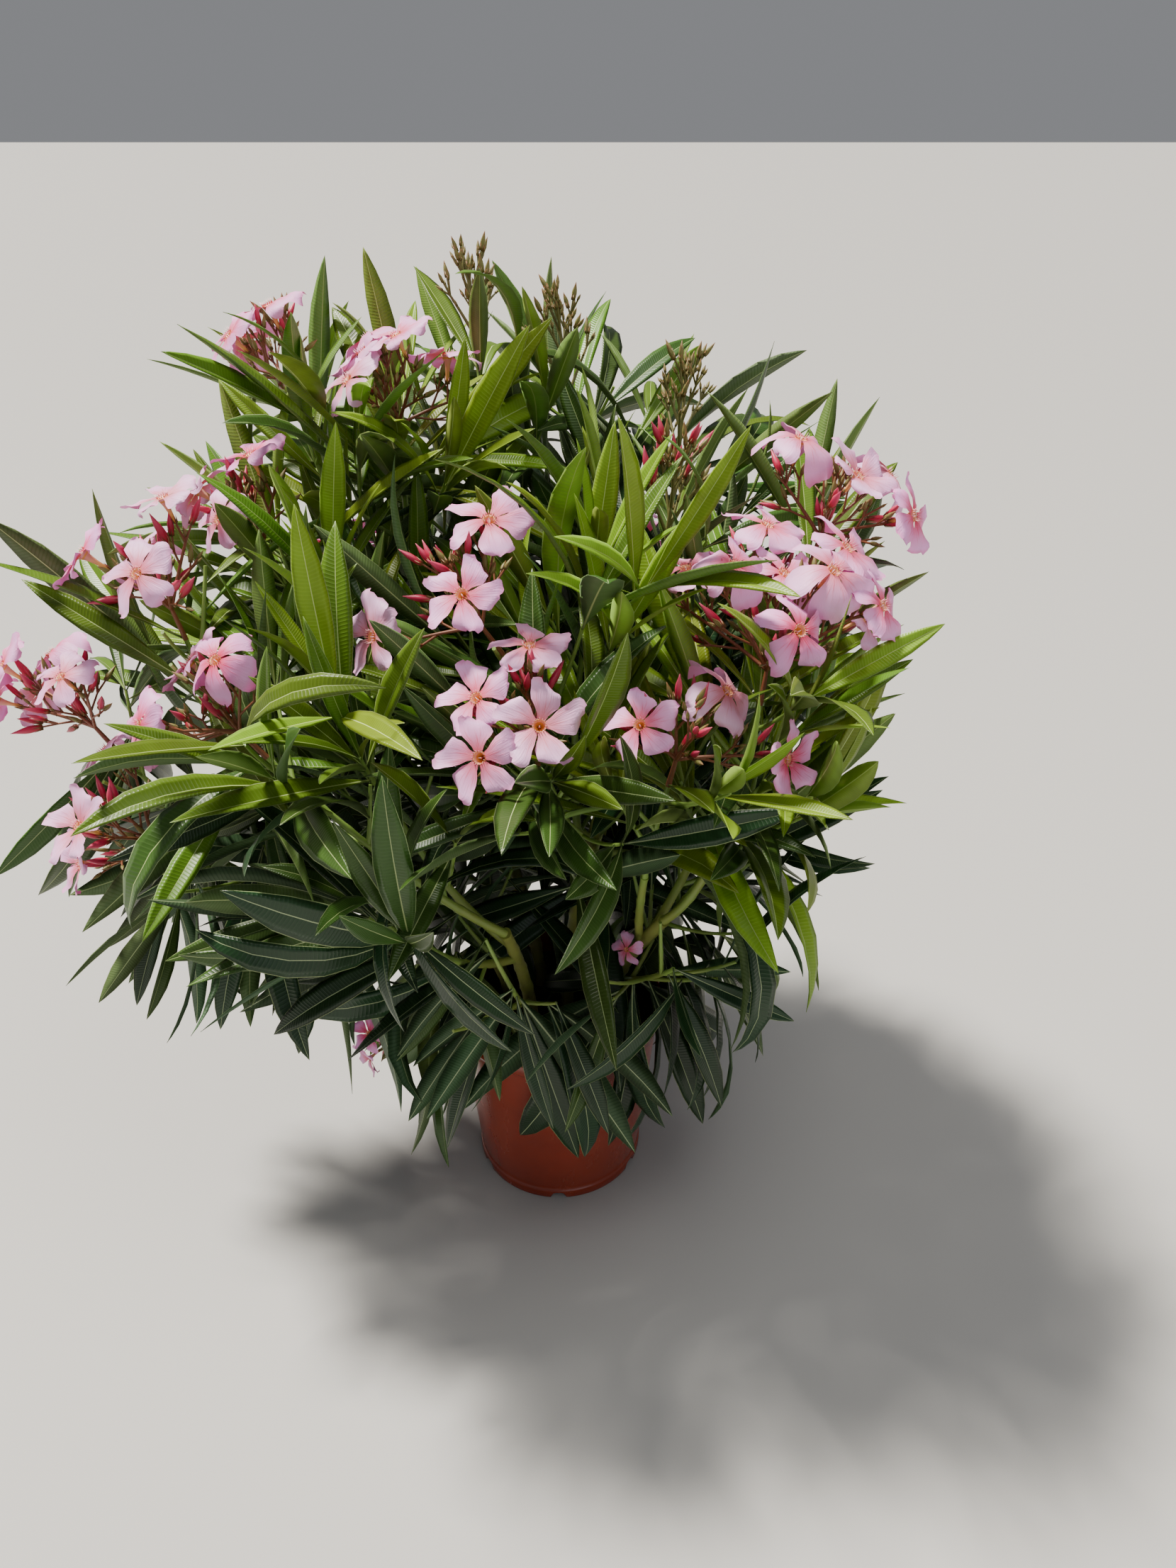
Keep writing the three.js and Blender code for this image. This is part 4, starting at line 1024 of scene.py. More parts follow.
BLOSSOM_KINDS = [(0.30, 0.35, 0.0), (0.15, 0.65, 0.0), (0.55, 0.10, 0.0), (0.05, 0.5, 0.12),
                 (0.45, 0.45, 0.25), (0.2, 1.1, 1.0)]
KINDS_DRAWN = [0, 0, 1, 1, 2, 3, 3, 4, 5]
PETAL_SHADE = (0.86, 0.52, 0.66)
PETAL_SHADES = [(0.0, (0.84, 0.17, 0.24)), (0.20, (0.88, 0.26, 0.43)), (0.5, (0.93, 0.43, 0.73)),
                (0.84, (0.95, 0.54, 0.88)), (1.0, (0.90, 0.38, 0.70))]
STREAK_SHADE = (0.76, 0.10, 0.16)
STREAK_STRETCH = (1.2, 17, 1)
BLOSSOM_FINISHES = {
    "Fringe": ("corona_pink", [(0.0, (0.80, 0.20, 0.22)), (1.0, (0.92, 0.62, 0.66))], 0.5),
    "Tube": ("tube_pink", [(0.0, (0.55, 0.30, 0.05)), (0.35, (0.86, 0.42, 0.12)),
                           (1.0, (0.84, 0.36, 0.40))], 0.45),
    "Heart": ("heart_orange", [(0.0, (0.86, 0.35, 0.25)), (0.35, (0.88, 0.42, 0.10)),
                               (1.0, (0.55, 0.22, 0.03))], 0.5),
    "Cup": ("cup_brown", [(0.0, (0.16, 0.09, 0.03)), (1.0, (0.30, 0.06, 0.03))], 0.5),
}


class ShapeBuilder:
    """Collects corners and faces, with a part number and a place on the part for each."""

    def __init__(self):
        self.points, self.faces, self.parts, self.places = [], [], [], []

    def grid(self, rows, part, close_round=False):
        """A sheet of quads between rows of (corner, place) pairs, of one part or a part for each strip."""
        first = len(self.points)
        width = len(rows[0])
        for row in rows:
            for corner, place in row:
                self.points.append(corner)
                self.places.append(place)
        for i in range(len(rows) - 1):
            for k in range(width if close_round else width - 1):
                n = (k + 1) % width
                a = first + i * width
                self.faces.append((a + k, a + n, a + width + n, a + width + k))
                self.parts.append(part if isinstance(part, int) else part[i])
        return first

    def cap(self, corners, part):
        self.faces.append(tuple(corners))
        self.parts.append(part)

    def mesh(self, name):
        """The mesh, with the part number on faces and the place as a UV map."""
        mesh = mesh_of(name, self.points, self.faces)
        mesh.attributes.new("part", "INT", "FACE").data.foreach_set("value", self.parts)
        layer = mesh.uv_layers.new(name="place")
        corners = np.empty(len(mesh.loops), dtype=np.int32)
        mesh.loops.foreach_get("vertex_index", corners)
        layer.data.foreach_set("uv", np.array(self.places, dtype=np.float32)[corners].ravel())
        return mesh


def petal_point(u, half, v, length, lift, curl, twist, fold, wave):
    """A point of a petal that lies along +X: u runs outwards, v across from -1 to 1."""
    reach = (PETAL_REACH - THROAT_RADIUS) * length * u * (1 + 0.13 * v * u - 0.05 * abs(v) ** 2.5 * u)
    x = THROAT_RADIUS + reach + 0.0009 * math.sin(7.0 * v + 3 * wave) * u ** 4
    y = v * half * (1 + 0.07 * math.sin(11.0 * u + wave)) + 0.0030 * u * u
    z = lift * math.sin(u * 1.5) * 0.010 - curl * 0.0075 * u ** 2.2 + twist * 0.0030 * v * u
    z += 0.0019 * math.sin(9.0 * u + 3.0 * v + wave) * u * abs(v) ** 1.5
    z += 0.0008 * math.sin(6.0 * u - 4.0 * v + 2 * wave) * u - fold * 0.0024 * abs(v) ** 2 * u
    return x, y, z


def petal_sheet(builder, turn, lift, curl, twist, dice):
    """One petal as a thin closed blade: an upper and a lower sheet that share their edge."""
    wave, length, fold = dice.uniform(0, SPIN), dice.uniform(0.92, 1.07), dice.uniform(-0.2, 1.6)
    upper, lower = [], []
    for i, (u, half) in enumerate(zip(PETAL_SHARES, PETAL_HALVES)):
        row_up, row_low = [], []
        for k in range(PETAL_COLUMNS):
            v = 2 * k / (PETAL_COLUMNS - 1) - 1
            x, y, z = petal_point(u, half, v, length, lift, curl, twist, fold, wave)
            edge = i in (0, len(PETAL_SHARES) - 1) or k in (0, PETAL_COLUMNS - 1)
            corner = Matrix.Rotation(turn, 3, "Z") @ Vector((x, y, z))
            under = corner - Vector((0, 0, 0.0 if edge else PETAL_THICK))
            row_up.append((corner, (u, v / 2 + 0.5)))
            row_low.append((under, (u, v / 2 + 0.5)))
        upper.append(row_up[::-1])
        lower.append(row_low)
    builder.grid(upper, 0)
    builder.grid(lower, 0)


def funnel(builder, rings, sides, parts):
    """A closed round body through rings of (radius, height, share), with a part for each strip."""
    rows = [[(around(turn, radius, height), (share, k / sides)) for k, turn in enumerate(turns_of(sides))]
            for radius, height, share in rings]
    first = builder.grid(rows, parts, True)
    last = first + (len(rings) - 1) * sides
    builder.cap(range(first, first + sides)[::-1], parts[0])
    builder.cap(range(last, last + sides), parts[-1])


def spike(builder, foot, tip, half, part):
    """A thin three-sided spike."""
    along = (tip - foot).normalized()
    first = len(builder.points)
    for k in range(3):
        builder.points.append(foot + sideways(along, 2.094 * k) * half)
        builder.places.append((0, k / 3))
    builder.points.append(tip)
    builder.places.append((1, 0.5))
    for k in range(3):
        builder.cap((first + k, first + (k + 1) % 3, first + 3), part)
    builder.cap((first + 2, first + 1, first), part)


def cup(builder, foot, tip, height, half, part):
    """Five pointed scales that stand round a foot."""
    for turn in turns_of(CUP_SCALES):
        spike(builder, around(turn) * foot, around(turn) * tip + UP * height, half, part)


def blossom_mesh(i, lift, curl, wilt):
    """A flower that faces +Z with its tube's foot at the origin."""
    dice = random.Random(FIRST_BLOSSOM_SEED + i)
    builder = ShapeBuilder()
    for k in range(PETALS):
        turn = 2 * math.pi * k / PETALS + dice.uniform(-0.08, 0.08)
        petal_sheet(builder, turn, lift + dice.uniform(-0.15, 0.15), curl + wilt * dice.uniform(0, 2.4),
                    1.0 + wilt * dice.uniform(-2, 2), dice)
    for k in range(FRINGE):
        out = around(2 * math.pi * (k + 0.5) / FRINGE)
        foot = out * (THROAT_RADIUS * 0.9) + UP * 0.0002
        reach = dice.uniform(0.6, 1.0)
        spike(builder, foot, foot + out * 0.0012 * reach + UP * (0.0044 * reach), 0.00045, 1)
    builder.points = [Vector(point) + UP * TUBE_LENGTH for point in builder.points]
    funnel(builder, TUBE_RINGS, TUBE_SIDES, TUBE_PARTS)
    spike(builder, UP * (TUBE_LENGTH - 0.007), UP * (TUBE_LENGTH + 0.0015), 0.0012, 1)
    cup(builder, 0.0011, 0.0026, 0.0058, 0.0009, 4)
    return builder.mesh(f"blossom_{i}")


def lit_through(tree, shader, shade, share):
    """Let light shine through a petal or a leaf in its own shade."""
    glow = add(tree, "ShaderNodeBsdfTranslucent", shade)
    both = add(tree, "ShaderNodeMixShader", share, shader.outputs["BSDF"], glow)
    feed(tree.nodes["Material Output"], {"Surface": both})


def petal_finish():
    """Pale pink with a nearly white rim, deeper pink streaks towards the throat."""
    material, tree, shader = finish("pink_petal", PETAL_SHADE, 0.5)
    place = add(tree, "ShaderNodeUVMap", uv_map="place")
    outwards = add(tree, "ShaderNodeSeparateXYZ", place, out="X")
    streaks = noise(tree, add(tree, "ShaderNodeMapping", Vector=place, Scale=STREAK_STRETCH), 1.0, 3)
    lines = worked(tree, "MULTIPLY", ranged(tree, outwards, 0.75, 0.1), ranged(tree, streaks, 0.52, 0.66))
    tint = add(tree, "ShaderNodeAttribute", attribute_name="tint", out="Fac")
    shade = add(tree, "ShaderNodeHueSaturation", Saturation=ranged(tree, tint, 0.0, 1.0, 0.82, 1.22),
                Color=mixed(tree, lines, graded(tree, outwards, PETAL_SHADES), STREAK_SHADE))
    feed(shader, {"Base Color": shade, "Normal": bumped(tree, streaks, 0.6, 0.0008)})
    lit_through(tree, shader, shade, 0.25)
    return material


def graded_finish(name, shades, roughness):
    """A finish that grades through shades along the part's own length."""
    material, tree, shader = finish(name, shades[0][1], roughness)
    place = add(tree, "ShaderNodeUVMap", uv_map="place")
    feed(shader, {"Base Color": graded(tree, add(tree, "ShaderNodeSeparateXYZ", place, out="X"), shades)})
    return material


def placing_tree(name, part_names):
    """A shape on every point, turned, sized and picked as the point says, each part in its finish."""
    tree, given, outside = new_tree(
        name, {"Shapes": "Collection", **{part: "Material" for part in part_names}})
    kind, part_number, turn, size = (
        add(tree, "GeometryNodeInputNamedAttribute", Name=label, data_type=data_type)
        for label, data_type in (("kind", "INT"), ("part", "INT"), ("turn", "FLOAT_VECTOR"),
                                 ("size", "FLOAT_VECTOR")))
    geometry = instances(tree, add(tree, "GeometryNodeMeshToPoints", given["Base"]), given["Shapes"],
                         Instance_Index=kind, Rotation=turn, Scale=size)
    for i, part in enumerate(part_names):
        same = add(tree, "FunctionNodeCompare", part_number, i, data_type="INT", operation="EQUAL")
        geometry = add(tree, "GeometryNodeSetMaterial", geometry, same, given[part])
    feed(outside, {"Result": geometry})
    return tree


def placed(name, spots, shapes, finishes):
    """Shapes on spots of (place, turn, size, kind, tint) as one plain mesh."""
    base = mesh_of(name, [spot[0] for spot in spots], [])
    values = {"turn": ("FLOAT_VECTOR", "vector", 1), "size": ("FLOAT_VECTOR", "vector", 2),
              "kind": ("INT", "value", 3), "tint": ("FLOAT", "value", 4)}
    for label, (kind, field, column) in values.items():
        flat = np.array([spot[column] for spot in spots]).ravel()
        base.attributes.new(label, kind, "POINT").data.foreach_set(field, flat)
    tree = placing_tree(f"{name}_placing", list(finishes))
    return grown_piece(name, made_by(tree, base, {"Shapes": shapes, **finishes}, name))


def facing(direction, spin):
    """The turn that points +Z along a direction, with a spin about it."""
    turn = direction.to_track_quat("Z", "Y").to_matrix() @ Matrix.Rotation(spin, 3, "Z")
    return tuple(turn.to_euler())


blossom_shapes = shapes_collection("blossom_shapes", [
    blossom_mesh(i, lift, curl, wilt) for i, (lift, curl, wilt) in enumerate(BLOSSOM_KINDS)])
blossom_finishes = {"Petals": petal_finish()}
for part, (finish_name, shades, roughness) in BLOSSOM_FINISHES.items():
    blossom_finishes[part] = graded_finish(finish_name, shades, roughness)
blossom_spots = []
for i, (foot, tip, size, dice) in enumerate(flower_heads):
    kind = dice.choice(KINDS_DRAWN)
    blossom_spots.append((foot, facing(tip, dice.uniform(0, SPIN)), (size,) * 3, kind, dice.random()))
placed("blossoms", blossom_spots, blossom_shapes, blossom_finishes)

# Buds
# Closed buds of every age: slender crimson spindles, rolled like an umbrella, on the flowering
# sprays, and small brown-green ones round them and at the back.
BUD_LENGTHS = (0.0065, 0.009, 0.013, 0.018, 0.023)
BUD_HALF = (0.0011, 0.0014, 0.0018, 0.0023, 0.0027)
BUD_SIDES = 8
BUD_RINGS = 7
BUD_ROLL = 1.3
BUD_PLEAT = 0.10
BUD_TIP_RADIUS = 0.00012
BUD_SEED = 77


def bud_mesh(i, length, half):
    """A rolled spindle that stands on the origin in a small cup of five scales."""
    builder = ShapeBuilder()
    rows = []
    for r in range(BUD_RINGS + 1):
        t = r / BUD_RINGS
        radius = half * (0.55 + 0.45 * math.sin(math.pi * min(1, t * 1.15))) * (1 - t ** 3) ** 0.6
        radius = max(radius, BUD_TIP_RADIUS)
        rows.append([(around(turn + BUD_ROLL * t, radius * (1 + BUD_PLEAT * (k % 2)), length * t),
                      (t, k / BUD_SIDES)) for k, turn in enumerate(turns_of(BUD_SIDES))])
    first = builder.grid(rows, 0, True)
    last = first + BUD_RINGS * BUD_SIDES
    builder.cap(range(first, first + BUD_SIDES)[::-1], 0)
    builder.cap(range(last, last + BUD_SIDES), 0)
    cup(builder, half * 0.5, half * 1.15, 0.003 + 0.16 * length, half * 0.45, 1)
    return builder.mesh(f"bud_{i}")


bud_shapes = shapes_collection("bud_shapes", [
    bud_mesh(i, length, half) for i, (length, half) in enumerate(zip(BUD_LENGTHS, BUD_HALF))])
crimson = graded_finish("crimson_bud", [(0.0, (0.34, 0.03, 0.03)), (0.35, (0.45, 0.008, 0.05)),
                                        (1.0, (0.62, 0.07, 0.16))], 0.42)
green_bud = graded_finish("green_bud", [(0.0, (0.15, 0.17, 0.04)), (0.6, (0.20, 0.18, 0.05)),
                                        (1.0, (0.26, 0.10, 0.045))], 0.5)
bud_cup = graded_finish("bud_cup", [(0.0, (0.14, 0.10, 0.03)), (1.0, (0.26, 0.08, 0.03))], 0.5)
ripe_spots, small_spots = [], []
bud_dice = random.Random(BUD_SEED)
for foot, tip, ripeness, size in bud_heads:
    spot = (foot, facing(tip, bud_dice.uniform(0, SPIN)), (size,) * 3)
    if ripeness > RIPE:
        ripe_spots.append((*spot, 3 + (ripeness > RIPEST), bud_dice.random()))
    else:
        small_spots.append((*spot, int(ripeness / 0.25), bud_dice.random()))
placed("crimson_buds", ripe_spots, bud_shapes, {"Bud": crimson, "Cup": bud_cup})
placed("green_buds", small_spots, bud_shapes, {"Bud": green_bud, "Cup": bud_cup})

# Leaves
# Leathery lance-shaped leaves in whorls of three: a pale midrib, close side veins and a thin pale
# edge. Tip leaves are narrow, upright and yellow-green, and old ones low down are darker and hang.
# The colour groups mix age with painted light: leaves high up and on shoots that stood in the sun
# are painted lighter, and low and back ones darker as painted shade.
# Each is laid where it touches no limb, flower or other leaf and keeps clear of the pot.
LEAF_LENGTH = 0.166
LEAF_ASPECT = 0.168
LEAF_SHARES = (0.0, 0.05, 0.15, 0.29, 0.44, 0.59, 0.74, 0.87, 0.955, 1.0)
LEAF_HALVES = (0.075, 0.085, 0.34, 0.70, 0.94, 1.0, 0.86, 0.53, 0.22, 0.012)
RIB_HALF = 0.0030
KEEL = 0.0070
ARCHES = (0.10, 0.35, 0.65, 1.05)
SHAPES_PER_ARCH = 4
CROWN_HEIGHTS = (0.05, 0.13, 0.24, 0.29, 0.34, 0.46, 0.60, 0.68)
CROWN_REACH = {
    "right": (0.165, 0.178, 0.215, 0.232, 0.248, 0.266, 0.270, 0.290),
    "left": (0.170, 0.190, 0.260, 0.440, 0.460, 0.470, 0.470, 0.420),
    "front": (0.125, 0.145, 0.185, 0.205, 0.220, 0.260, 0.280, 0.280),
    "back": (0.170, 0.200, 0.270, 0.310, 0.350, 0.410, 0.410, 0.410),
}
FULLNESS = 2.6
CROWN_ACROSS = (-0.350, -0.230, -0.120, -0.030, 0.030, 0.090, 0.180, 0.290)
CROWN_TOP = (0.700, 0.765, 0.800, 0.785, 0.735, 0.700, 0.725, 0.670)
SPRAY_ROOM = 0.056
HANGING_BELOW = 0.430
FULLY_HANGING = 0.200
HANGING_SHOOTS = ("left_hanging_flowers", "far_left_flowers", "low_left_shoot", "low_front_leaves")
TURNS_TO_LIGHT = 0.35
LEAVES_KEPT = {"stem": 0.8}
LOWEST_LEAF = 0.055
BOX_MARGIN = 0.004
# Painted light by shoot: leaves of shoots that stood in the sun are painted lighter, and those of shaded back
# shoots darker as painted shade.
PAINTED_SUN_SHOOTS = {
    "left_inner_leaves": 0.22, "centre_leaves": 0.25, "left_back_flowers": 0.2, "mid_left_flowers": 0.12,
    "left_flowers": 0.16, "left_low_flowers": 0.05, "right_side_leaves": 0.56, "right_flowers": 0.24,
    "right_low_flowers": 0.30, "low_left_shoot": 0.35, "back_buds": -0.18, "back_right_buds": -0.2,
    "tall_buds": -0.08, "back_low_flowers": -0.15, "back_right_flowers": -0.12, "red_buds": -0.12,
    "right_top_flowers": -0.05,
}
# Leaf colour groups from light to dark, by age and by painted light: sunlit young leaves at the top, old ones
# in painted shade low down.
LEAF_AGE_AND_LIGHT_GROUPS = {
    "young": {"least": 0.90, "blade": (0.260, 0.40, 0.022), "vein": (0.31, 0.46, 0.04),
              "under": (0.27, 0.38, 0.07), "rib": (0.44, 0.56, 0.16), "glow": 0.38},
    "fresh": {"least": 0.66, "blade": (0.112, 0.215, 0.014), "vein": (0.145, 0.26, 0.028),
              "under": (0.16, 0.26, 0.06), "rib": (0.36, 0.46, 0.15), "glow": 0.28},
    "mature": {"least": 0.42, "blade": (0.040, 0.090, 0.013), "vein": (0.054, 0.112, 0.020),
               "under": (0.092, 0.152, 0.050), "rib": (0.32, 0.40, 0.16), "glow": 0.17},
    "old": {"least": -math.inf, "blade": (0.010, 0.037, 0.010), "vein": (0.015, 0.048, 0.014),
            "under": (0.042, 0.088, 0.032), "rib": (0.30, 0.37, 0.19), "glow": 0.08},
}
# Leaves are painted lighter with height over this range, and darker low down as painted shade; younger leaves
# are lighter as well.
PAINTED_LIGHT_FROM = 0.29
PAINTED_LIGHT_RISE = 0.36
PAINTED_LIGHT_BY_HEIGHT = 0.62
BY_AGE = 0.36
OLD_AGE = 5
LIMB_AGES = {"spur": 1, "bough": 4, "stem": 7}
WHORL = 3
WHORL_JITTER = 0.15
SLIMMING_FROM = 0.25
SLIMMING_RISE = 0.35
STEM_LEAVES_FROM = 0.215
LENGTHS = (0.80, 1.06)
AGE_LENGTHS = (0.7, 0.88, 1.0)
WIDTHS = (0.90, 1.14)
LEAST_LEAN = 18
MOST_LEAN = 84
LEAN_PER_AGE = 13
LEAN_JITTER = 9
DROOPS = (0.8, 1.9)
SHOOT_DROOPS = (0.2, 0.7)
SIDE_DROOPS = (0.4, 1.2)
DROOPING_SIDE = -0.18
DROOPING_BELOW = 0.46
MOST_OBSTACLES = 20000
LEAF_SEED = 2024
KIND_RANGES = {"arch": (0.85, 1.15), "twist": (-0.55, 0.55), "wave": (0.003, 0.012),
               "fold": (0.12, 0.42), "phase": (0, SPIN)}
EDGE_SHADE = (0.50, 0.62, 0.28)
VEINS = 56
VEIN_SLANT = 9.0
LEAF_SPECULAR = 0.38
TRIES = ((0, 0, 1), (14, 0, 1), (-14, 0, 1), (0, 12, 1), (0, -12, 1), (26, 6, 0.95), (-26, 6, 0.95),
         (10, -16, 0.92), (-10, 16, 0.92), (0, 24, 0.88), (0, 0, 0.8))


def leaf_sections(arch, twist, wave, fold, phase):
    """The middle line of a leaf that starts along +X, with its frame and half width at each row."""
    sections = []
    x = z = before = 0.0
    for t, share in zip(LEAF_SHARES, LEAF_HALVES):
        slope = -arch * (0.25 * t + 0.75 * t * t) * 1.6
        x += math.cos(slope) * (t - before)
        z += math.sin(slope) * (t - before)
        before = t
        along = Vector((math.cos(slope), 0, math.sin(slope)))
        roll = twist * t * t
        across = Matrix.Rotation(roll, 3, along) @ Vector((0, 1, 0))
        upper = along.cross(across)
        ripple = wave * math.sin(5.5 * t + phase) * math.sin(math.pi * t)
        sections.append((t, Vector((x, 0, z)), across, upper, share * LEAF_ASPECT / 2, fold, ripple))
    return sections


def leaf_mesh(i, arch, twist, wave, fold, phase):
    """A leaf of unit length: an upper face with a sunk rib, an underside with a raised one."""
    builder = ShapeBuilder()
    rows = []
    for t, middle, across, upper, half, lift, ripple in leaf_sections(arch, twist, wave, fold, phase):
        rib = min(RIB_HALF * (1.2 - 0.8 * t), half * 0.5)
        keel = KEEL * (1.06 - t)
        side = lambda y, z: middle + across * y + upper * z
        rise = lambda y: lift * abs(y) + ripple * y / LEAF_ASPECT * 2 * (1 if y > 0 else -0.6)
        camber = 0.10 * half
        row = [(side(-half, rise(-half)), (t, 0.0)),
               (side(-half * 0.55, rise(-half * 0.55) + camber), (t, 0.22)),
               (side(-rib, 0.002), (t, 0.47)),
               (side(rib, 0.002), (t, 0.53)),
               (side(half * 0.55, rise(half * 0.55) + camber), (t, 0.78)),
               (side(half, rise(half)), (t, 1.0)),
               (side(rib * 1.3, -keel), (t, 0.53)),
               (side(-rib * 1.3, -keel), (t, 0.47))]
        rows.append(row)
    first = builder.grid(rows, 0, True)
    part_of_column = (0, 0, 1, 0, 0, 2, 3, 2)
    builder.parts = [part_of_column[k % 8] for k in range(len(builder.faces))]
    builder.faces = [face[::-1] for face in builder.faces]
    builder.cap([first + k for k in range(8)], 1)
    builder.cap([first + (len(LEAF_SHARES) - 1) * 8 + k for k in range(8)][::-1], 0)
    return builder.mesh(f"leaf_{i}")


def leaf_strip(arch, twist, wave, fold, phase):
    """The same leaf as a plain strip, without its stalk, for the test of what it would touch."""
    points = []
    for t, middle, across, upper, half, lift, _ in leaf_sections(arch, twist, wave, fold, phase):
        if t > 0.1:
            rise = upper * lift * half
            points += [middle - across * half + rise, middle, middle + across * half + rise]
    faces = []
    for r in range(len(points) // 3 - 1):
        a = 3 * r
        faces += [(a, a + 1, a + 4, a + 3), (a + 1, a + 2, a + 5, a + 4)]
    return np.array(points), faces


leaf_dice = random.Random(LEAF_SEED)
leaf_kinds = []
for arch in ARCHES:
    for _ in range(SHAPES_PER_ARCH):
        share, *rest = [leaf_dice.uniform(*ends) for ends in KIND_RANGES.values()]
        leaf_kinds.append((arch * share, *rest))
leaf_shapes = shapes_collection("leaf_shapes", [leaf_mesh(i, *kind) for i, kind in enumerate(leaf_kinds)])
leaf_strips = [leaf_strip(*kind) for kind in leaf_kinds]


def whorl_places(limb, dice):
    """The leaves that a limb could bear: three at each node, turned half a step from node to node."""
    found = []
    for n, distance in enumerate(limb.nodes):
        point, along, radius = limb.at(distance)
        age = len(limb.nodes) - 1 - n
        if limb.kind == "leader" and shoot_ends[limb.shoot] != "leaves":
            age += 1
        age += LIMB_AGES.get(limb.kind, 0)
        for part in turns_of(WHORL):
            turn = limb.spin + part + (math.pi / WHORL) * (n % 2) + dice.uniform(-WHORL_JITTER, WHORL_JITTER)
            found.append((point, along, sideways(along, turn), radius, age, limb))
    return found


def held(value):
    """A value kept between 0 and 1."""
    return min(1, max(0, value))


def group_of(z, age, limb, dice):
    """Which colour group a leaf belongs to: its age, and painted light that makes leaves high up
    and on sunny shoots lighter, and low and back ones darker as painted shade.
    """
    light = PAINTED_LIGHT_BY_HEIGHT * held((z - PAINTED_LIGHT_FROM) / PAINTED_LIGHT_RISE) + BY_AGE * max(0, 1 - age / OLD_AGE)
    light += PAINTED_SUN_SHOOTS.get(limb.shoot, 0)
    light += dice.uniform(-0.1, 0.1)
    return next(group for group, look in LEAF_AGE_AND_LIGHT_GROUPS.items() if light > look["least"])


def leaf_turn(along, out, lean, hang):
    """The frame of a leaf: where it heads, its width and its upper face, which looks up the twig
    or, where the leaf hangs, turns to the light."""
    heading = along * math.cos(lean) + out * math.sin(lean)
    upper = along * math.sin(lean) - out * math.cos(lean)
    heading = (heading - UP * hang).normalized()
    upper = (upper - heading * upper.dot(heading)).normalized()
    if hang > TURNS_TO_LIGHT and upper.dot(out + UP) < 0:
        upper = -upper
    across = upper.cross(heading)
    return Matrix((heading, across, upper)).transposed()


obstacle_centres = np.zeros((MOST_OBSTACLES, 3))
obstacle_reaches = np.zeros(MOST_OBSTACLES)
obstacles = []
low_corner, high_corner = np.array(cad_box[0]) - BOX_MARGIN, np.array(cad_box[1]) + BOX_MARGIN
low_corner[2] = LOWEST_LEAF


def solid_of(points, faces):
    return BVHTree.FromPolygons([tuple(p) for p in points], faces)


def stands_clear(points, solid, own):
    """Whether a strip keeps inside the crown's reach and touches nothing that has grown."""
    if (points < low_corner).any() or (points > high_corner).any():
        return False
    heights = points[:, 2]
    right, left, front, back = (np.interp(heights, CROWN_HEIGHTS, ends) for ends in CROWN_REACH.values())
    across = points[:, 0] / np.where(points[:, 0] > 0, right, left)
    along = points[:, 1] / np.where(points[:, 1] > 0, back, front)
    if (np.abs(across) ** FULLNESS + np.abs(along) ** FULLNESS > 1).any():
        return False
    if (heights > np.interp(points[:, 0], CROWN_ACROSS, CROWN_TOP)).any():
        return False
    if any(crosses_gap(points, *gap) for gap in CROWN_GAPS):
        return False
    if (np.linalg.norm(points[:, None] - spray_middles, axis=2) < SPRAY_ROOM).any():
        return False
    middle = points.mean(axis=0)
    reach = np.linalg.norm(points - middle, axis=1).max()
    count = len(obstacles)
    apart = np.linalg.norm(obstacle_centres[:count] - middle, axis=1)
    for i in np.nonzero(apart < obstacle_reaches[:count] + reach)[0]:
        other, limb = obstacles[i]
        if limb is not own and solid.overlap(other):
            return False
    return True


def limb_strip(limb, sides=5):
    """A limb's skin as a plain tube, in stretches, for the test of what leaves would touch."""
    count = max(3, int(limb.length / 0.02) + 1)
    points, faces = [], []
    for i in range(count):
        point, along, radius = limb.at(limb.length * i / (count - 1))
        points += [point + sideways(along, turn) * radius for turn in turns_of(sides)]
        if i:
            a, b = (i - 1) * sides, i * sides
            faces += [(a + k, a + (k + 1) % sides, b + (k + 1) % sides, b + k) for k in range(sides)]
    return np.array(points), faces


def remember(points, solid, own=None):
    """Keep what has grown, so that later leaves stay clear of it."""
    middle = points.mean(axis=0)
    obstacle_centres[len(obstacles)] = middle
    obstacle_reaches[len(obstacles)] = np.linalg.norm(points - middle, axis=1).max()
    obstacles.append((solid, own))


def pot_strip(sides=24):
    """The pot's side and the compost, plain, for the test of what leaves would touch."""
    rings = ((POT_FOOT_RADIUS, 0), (POT_TOP_RADIUS, POT_HEIGHT), (SOIL_RADIUS, SOIL_LEVEL))
    points = [(radius * math.cos(turn), radius * math.sin(turn), z)
              for radius, z in rings for turn in turns_of(sides)]
    pairs = [(k, (k + 1) % sides) for k in range(sides)]
    faces = [(k, n, n + sides, k + sides) for k, n in pairs] + [tuple(range(2 * sides, 3 * sides))]
    return np.array(points), faces


pot_points, pot_faces = pot_strip()
remember(pot_points, solid_of(pot_points, pot_faces))
for limb in [*stems.values(), *boughs.values(), *twigs, *stalks]:
    skin_points, skin_faces = limb_strip(limb)
    remember(skin_points, solid_of(skin_points, skin_faces), limb)
for foot, tip, size, _ in flower_heads:
    centre = foot + tip * TUBE_LENGTH
    rim = [centre + sideways(tip, math.radians(45 * k)) * FLOWER_REACH * size for k in range(8)]
    remember(np.array([foot, *rim]), solid_of([foot, *rim], [(0, 1 + k, 1 + (k + 1) % 8) for k in range(8)]))

spray_middles = np.array(spray_middles)
candidates = []
for limb in [*stems.values(), *boughs.values(), *twigs]:
    candidates += whorl_places(limb, leaf_dice)
leaf_dice.shuffle(candidates)
candidates.sort(key=lambda c: c[4])

